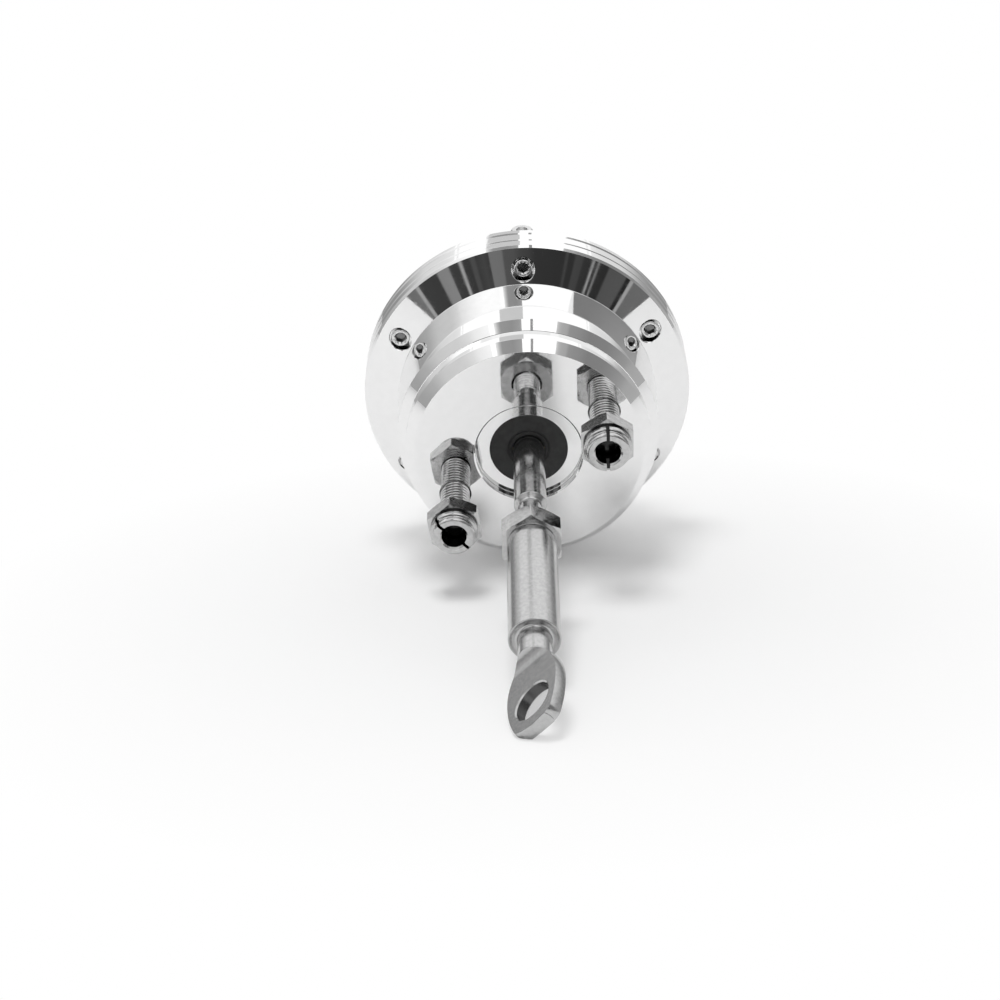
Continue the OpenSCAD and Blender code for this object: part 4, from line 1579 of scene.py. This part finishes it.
# The tones and bearings below were read off the reflections in the photo.
PANELS: tuple[Panel, ...] = (
    Panel("left_wall", (-112, -31), (-24, 62), ((-112, 1.2), (-95, 1.15), (-80, 1.0), (-31, 1.0)),
          ((-24, 0.36), (3, 0.38), (7, 0.42), (12, 0.46), (15, 0.54), (19, 0.62), (25, 0.66), (31, 0.68),
           (35, 0.78), (38, 0.93), (45, 1.08), (50, 1.2))),
    Panel("right_wall", (28, 84), (-24, 46.5),
          ((28, 0.66), (30, 0.5), (32, 0.43), (36, 0.4), (38, 0.31), (46, 0.27), (51, 0.23), (60, 0.235),
           (64, 0.26), (67, 0.29), (71, 0.33), (74, 0.4), (84, 0.45)), distance=1.48),
    Panel("right_side", (84, 112), (-24, 32), ((84, 0.46), (112, 0.48)),
          ((-24, 1.0), (18, 1.0), (22, 1.15), (28, 1.7), (32, 2.0)), distance=1.48),
    Panel("front_lamp", (-31, 50), (38, 80), ((0, 1.25),), distance=1.52),
    Panel("front_card", (-38, 30), (13, 38), ((0, 0.8),), distance=1.51),
    Panel("grey_card", (-27, -3), (34, 80),
          ((-27, 0.9), (-24, 0.5), (-22, 0.33), (-12, 0.3), (-5, 0.36), (-3, 0.42)), distance=1.46),
    Panel("lamp_stand", (5, 7.5), (40, 56), ((0, 0.3),), distance=1.44),
    Panel("back_wall", (112, 248), (-5, 32), ((0, 1.0),),
          ((-5, 0.28), (8, 0.3), (12, 0.38), (16, 0.56), (20, 0.72), (28, 0.8), (32, 0.95))),
    Panel("dark_room", (-38.5, 41), (-46, 13),
          ((-38.5, 0.16), (-35.2, 0.16), (-34.9, 0.36), (-34.2, 0.36), (-33.9, 0.05), (-28, 0.045),
           (-27.8, 0.23), (-24.2, 0.24), (-24, 0.05), (-21, 0.045), (-20.8, 0.36), (-20, 0.36),
           (-19.8, 0.045), (-17.5, 0.04), (-17, 0.075), (-15.8, 0.075), (-15.4, 0.045), (-13, 0.06),
           (-11.2, 0.045), (-11, 0.17), (-6.8, 0.16), (-6.4, 0.085), (-3, 0.08), (-1, 0.06), (2, 0.05),
           (4, 0.035), (14, 0.03), (14.2, 0.055), (15, 0.055), (15.2, 0.03), (17, 0.03), (17.3, 0.06),
           (19.5, 0.055), (20, 0.035), (22.4, 0.03), (22.6, 0.3), (23.2, 0.3), (23.4, 0.04),
           (24.1, 0.035), (24.3, 0.22), (24.7, 0.22), (24.9, 0.03), (27.6, 0.025), (28, 0.085),
           (33.2, 0.09), (33.4, 0.02), (34.4, 0.02), (34.6, 0.35), (35.4, 0.35), (35.6, 0.14),
           (41, 0.15)), distance=1.4),
    Panel("back_lamp", (118, 242), (30, 70), ((0, 1.12),)),
    Panel("back_card", (181, 195), (38, 52), ((0, 0.62),), distance=1.48),
)


@dataclass
class Studio:
    """A pale floor under the rim and the eye, white surroundings, and what the metal reflects."""

    tilt: float = 15.75
    contact: tuple[float, float, float] = (0.0, 0.025, -0.0344)
    paper_slant: float = 0.21
    paper_end: float = -0.2605
    floor_tone: float = 0.94
    sky_share: float = 0.58
    lamp_size: float = 0.36
    lamp_height: float = 0.9
    panels: tuple[Panel, ...] = PANELS

    def frame(self) -> Matrix:
        """Returns the floor's own frame: its middle, sideways, towards the back, and up."""
        a = math.radians(self.tilt)
        c, s = math.cos(a), math.sin(a)
        turned = Matrix(((1.0, 0.0, 0.0), (0.0, c, s), (0.0, -s, c))).to_4x4()
        return Matrix.Translation(self.contact) @ turned

    def build(self) -> None:
        """Builds the floor, the surroundings and the panels."""
        self._floor()
        self._world()
        self._lamp()
        for panel in self.panels:
            self._panel(panel)

    def _floor(self) -> None:
        """Lays the floor. Far from the object it fades to plain white, it can't be seen from
        below, and in the metal it ends in front, where the paper on the table ends."""
        mesh = bpy.data.meshes.new("floor")
        half = 4.0
        corners = np.array([(-half, -half, 0), (half, -half, 0), (half, half, 0), (-half, half, 0)], float)
        frame = np.array(self.frame())
        placed = corners @ frame[:3, :3].T + frame[:3, 3]
        mesh.from_pydata(placed.tolist(), [], [(0, 1, 2, 3)])
        floor = bpy.data.objects.new("floor", mesh)
        bpy.context.scene.collection.objects.link(floor)
        graph = Graph("studio_floor")
        tree = graph.tree
        tree.nodes.remove(graph.shader)
        paper = graph.add("BsdfDiffuse", Color=(self.floor_tone,) * 3 + (1.0,))
        glow = graph.add("Emission", Color=WHITE, Strength=1.0)
        clear = graph.add("BsdfTransparent")
        away = graph.add("VectorMath", operation="DISTANCE")
        tree.links.new(graph.place, away.inputs[0])
        away.inputs[1].default_value = (0.0, -0.02, -0.02)
        fade = graph.spread(away.outputs["Value"], 0.1, 1.0, 0.032, 0.12)
        path = graph.add("LightPath")
        seen = graph.mix(fade, path.outputs["Is Camera Ray"])
        lit = graph.add("MixShader", Fac=seen)
        tree.links.new(paper.outputs[0], lit.inputs[1])
        tree.links.new(glow.outputs[0], lit.inputs[2])
        across = graph.add("VectorMath", operation="DOT_PRODUCT")
        tree.links.new(graph.place, across.inputs[0])
        across.inputs[1].default_value = (-self.paper_slant, 1.0, 0.0)
        beyond = graph.spread(across.outputs["Value"], 1.0, 0.0, self.paper_end - 0.004, self.paper_end)
        mirrored = graph.mix(beyond, path.outputs["Is Glossy Ray"])
        under = graph.add("NewGeometry").outputs["Backfacing"]
        hidden = graph.mix(mirrored, under, "MAXIMUM")
        out = graph.add("MixShader", Fac=hidden)
        tree.links.new(lit.outputs[0], out.inputs[1])
        tree.links.new(clear.outputs[0], out.inputs[2])
        tree.links.new(out.outputs[0], tree.nodes["Material Output"].inputs["Surface"])
        mesh.materials.append(graph.material)

    def _world(self) -> None:
        """Surrounds everything with white, which lights the floor less than the lamp above it does."""
        world = bpy.data.worlds.new("studio_white")
        world.use_nodes = True
        tree = world.node_tree
        ground = tree.nodes["Background"]
        ground.inputs["Color"].default_value = WHITE
        path = tree.nodes.new("ShaderNodeLightPath")
        share = tree.nodes.new("ShaderNodeMapRange")
        share.inputs["To Min"].default_value = 1.0
        share.inputs["To Max"].default_value = self.sky_share
        tree.links.new(path.outputs["Is Diffuse Ray"], share.inputs["Value"])
        tree.links.new(share.outputs["Result"], ground.inputs["Strength"])
        bpy.context.scene.world = world

    def _lamp(self) -> None:
        """Hangs a soft lamp above the object, which gives the floor what the sky leaves out."""
        data = bpy.data.lights.new("top_lamp", "AREA")
        data.shape = "DISK"
        data.size = self.lamp_size
        data.energy = (1.0 - self.sky_share) * (math.pi * self.lamp_height) ** 2
        lamp = bpy.data.objects.new("top_lamp", data)
        lamp.matrix_world = self.frame() @ Matrix.Translation((-0.1, -0.12, self.lamp_height))
        lamp.visible_glossy = False
        bpy.context.scene.collection.objects.link(lamp)

    def _panel(self, panel: Panel) -> None:
        """Stands one panel up: part of a sphere of bearing and height, with a tone at each point.

        Args:
            panel: The panel.
        """
        bearing = np.linspace(*panel.bearing, 241) + np.zeros((33, 1))
        height = np.linspace(*panel.height, 33)[:, None] + 0 * bearing
        tone = np.interp(bearing, *zip(*panel.across)) * np.interp(height, *zip(*panel.up))
        b, h = np.radians(bearing), np.radians(height)
        local = panel.distance * np.stack([np.sin(b) * np.cos(h), -np.cos(b) * np.cos(h), np.sin(h)], axis=-1)
        frame = np.array(self.frame())
        placed = local.reshape(-1, 3) @ frame[:3, :3].T
        ids = np.arange(placed.shape[0]).reshape(bearing.shape)
        quads = np.stack([ids[:-1, :-1], ids[:-1, 1:], ids[1:, 1:], ids[1:, :-1]], axis=-1).reshape(-1, 4)
        mesh = bpy.data.meshes.new(panel.name)
        mesh.from_pydata(placed.tolist(), [], quads.tolist())
        shade = mesh.attributes.new("tone", "FLOAT", "POINT")
        shade.data.foreach_set("value", tone.astype(np.float32).ravel())
        stand = bpy.data.objects.new(panel.name, mesh)
        bpy.context.scene.collection.objects.link(stand)
        stand.visible_camera = False
        stand.visible_diffuse = False
        stand.visible_shadow = False
        graph = Graph(panel.name + "_tone")
        graph.tree.nodes.remove(graph.shader)
        value = graph.add("Attribute", attribute_name="tone").outputs["Fac"]
        glow = graph.add("Emission", Color=WHITE, Strength=value)
        graph.tree.links.new(glow.outputs[0], graph.tree.nodes["Material Output"].inputs["Surface"])
        mesh.materials.append(graph.material)


@dataclass
class Photographer:
    """The camera, where the photograph was taken from."""

    place: tuple[float, float, float] = (0.000132, -0.34289, 0.20314)
    yaw: float = -0.0185
    pitch: float = 0.5578
    roll: float = -0.0416
    focal: float = 1975.9
    frame_px: float = 1000.0
    sensor: float = 36.0

    def build(self) -> None:
        """Sets the camera up."""
        flat = math.cos(self.pitch)
        forward = Vector((math.sin(self.yaw) * flat, math.cos(self.yaw) * flat, -math.sin(self.pitch)))
        level = Vector((math.cos(self.yaw), -math.sin(self.yaw), 0.0))
        up = level.cross(forward)
        right = level * math.cos(self.roll) + up * math.sin(self.roll)
        top = up * math.cos(self.roll) - level * math.sin(self.roll)
        turned = Matrix((right, top, -forward)).transposed().to_4x4()
        data = bpy.data.cameras.new("camera")
        data.sensor_width = self.sensor
        data.lens = self.focal * self.sensor / self.frame_px
        data.clip_start, data.clip_end = 0.01, 50.0
        camera = bpy.data.objects.new("camera", data)
        camera.matrix_world = Matrix.Translation(self.place) @ turned
        bpy.context.scene.collection.objects.link(camera)
        bpy.context.scene.camera = camera


def main() -> None:
    """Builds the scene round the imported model."""
    logging.basicConfig(level=logging.INFO, format="%(name)s: %(message)s")
    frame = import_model()
    bpy.context.scene.view_settings.view_transform = "Standard"
    Photographer().build()
    Studio().build()
    shop = Shop()
    Canister().build(shop)
    Fixings().build(shop)
    RodSet().build(shop)
    HosePort().build(shop)
    Spring().build(shop)
    Inside().build(shop, frame["nodes"])


if __name__ == "__main__":
    main()
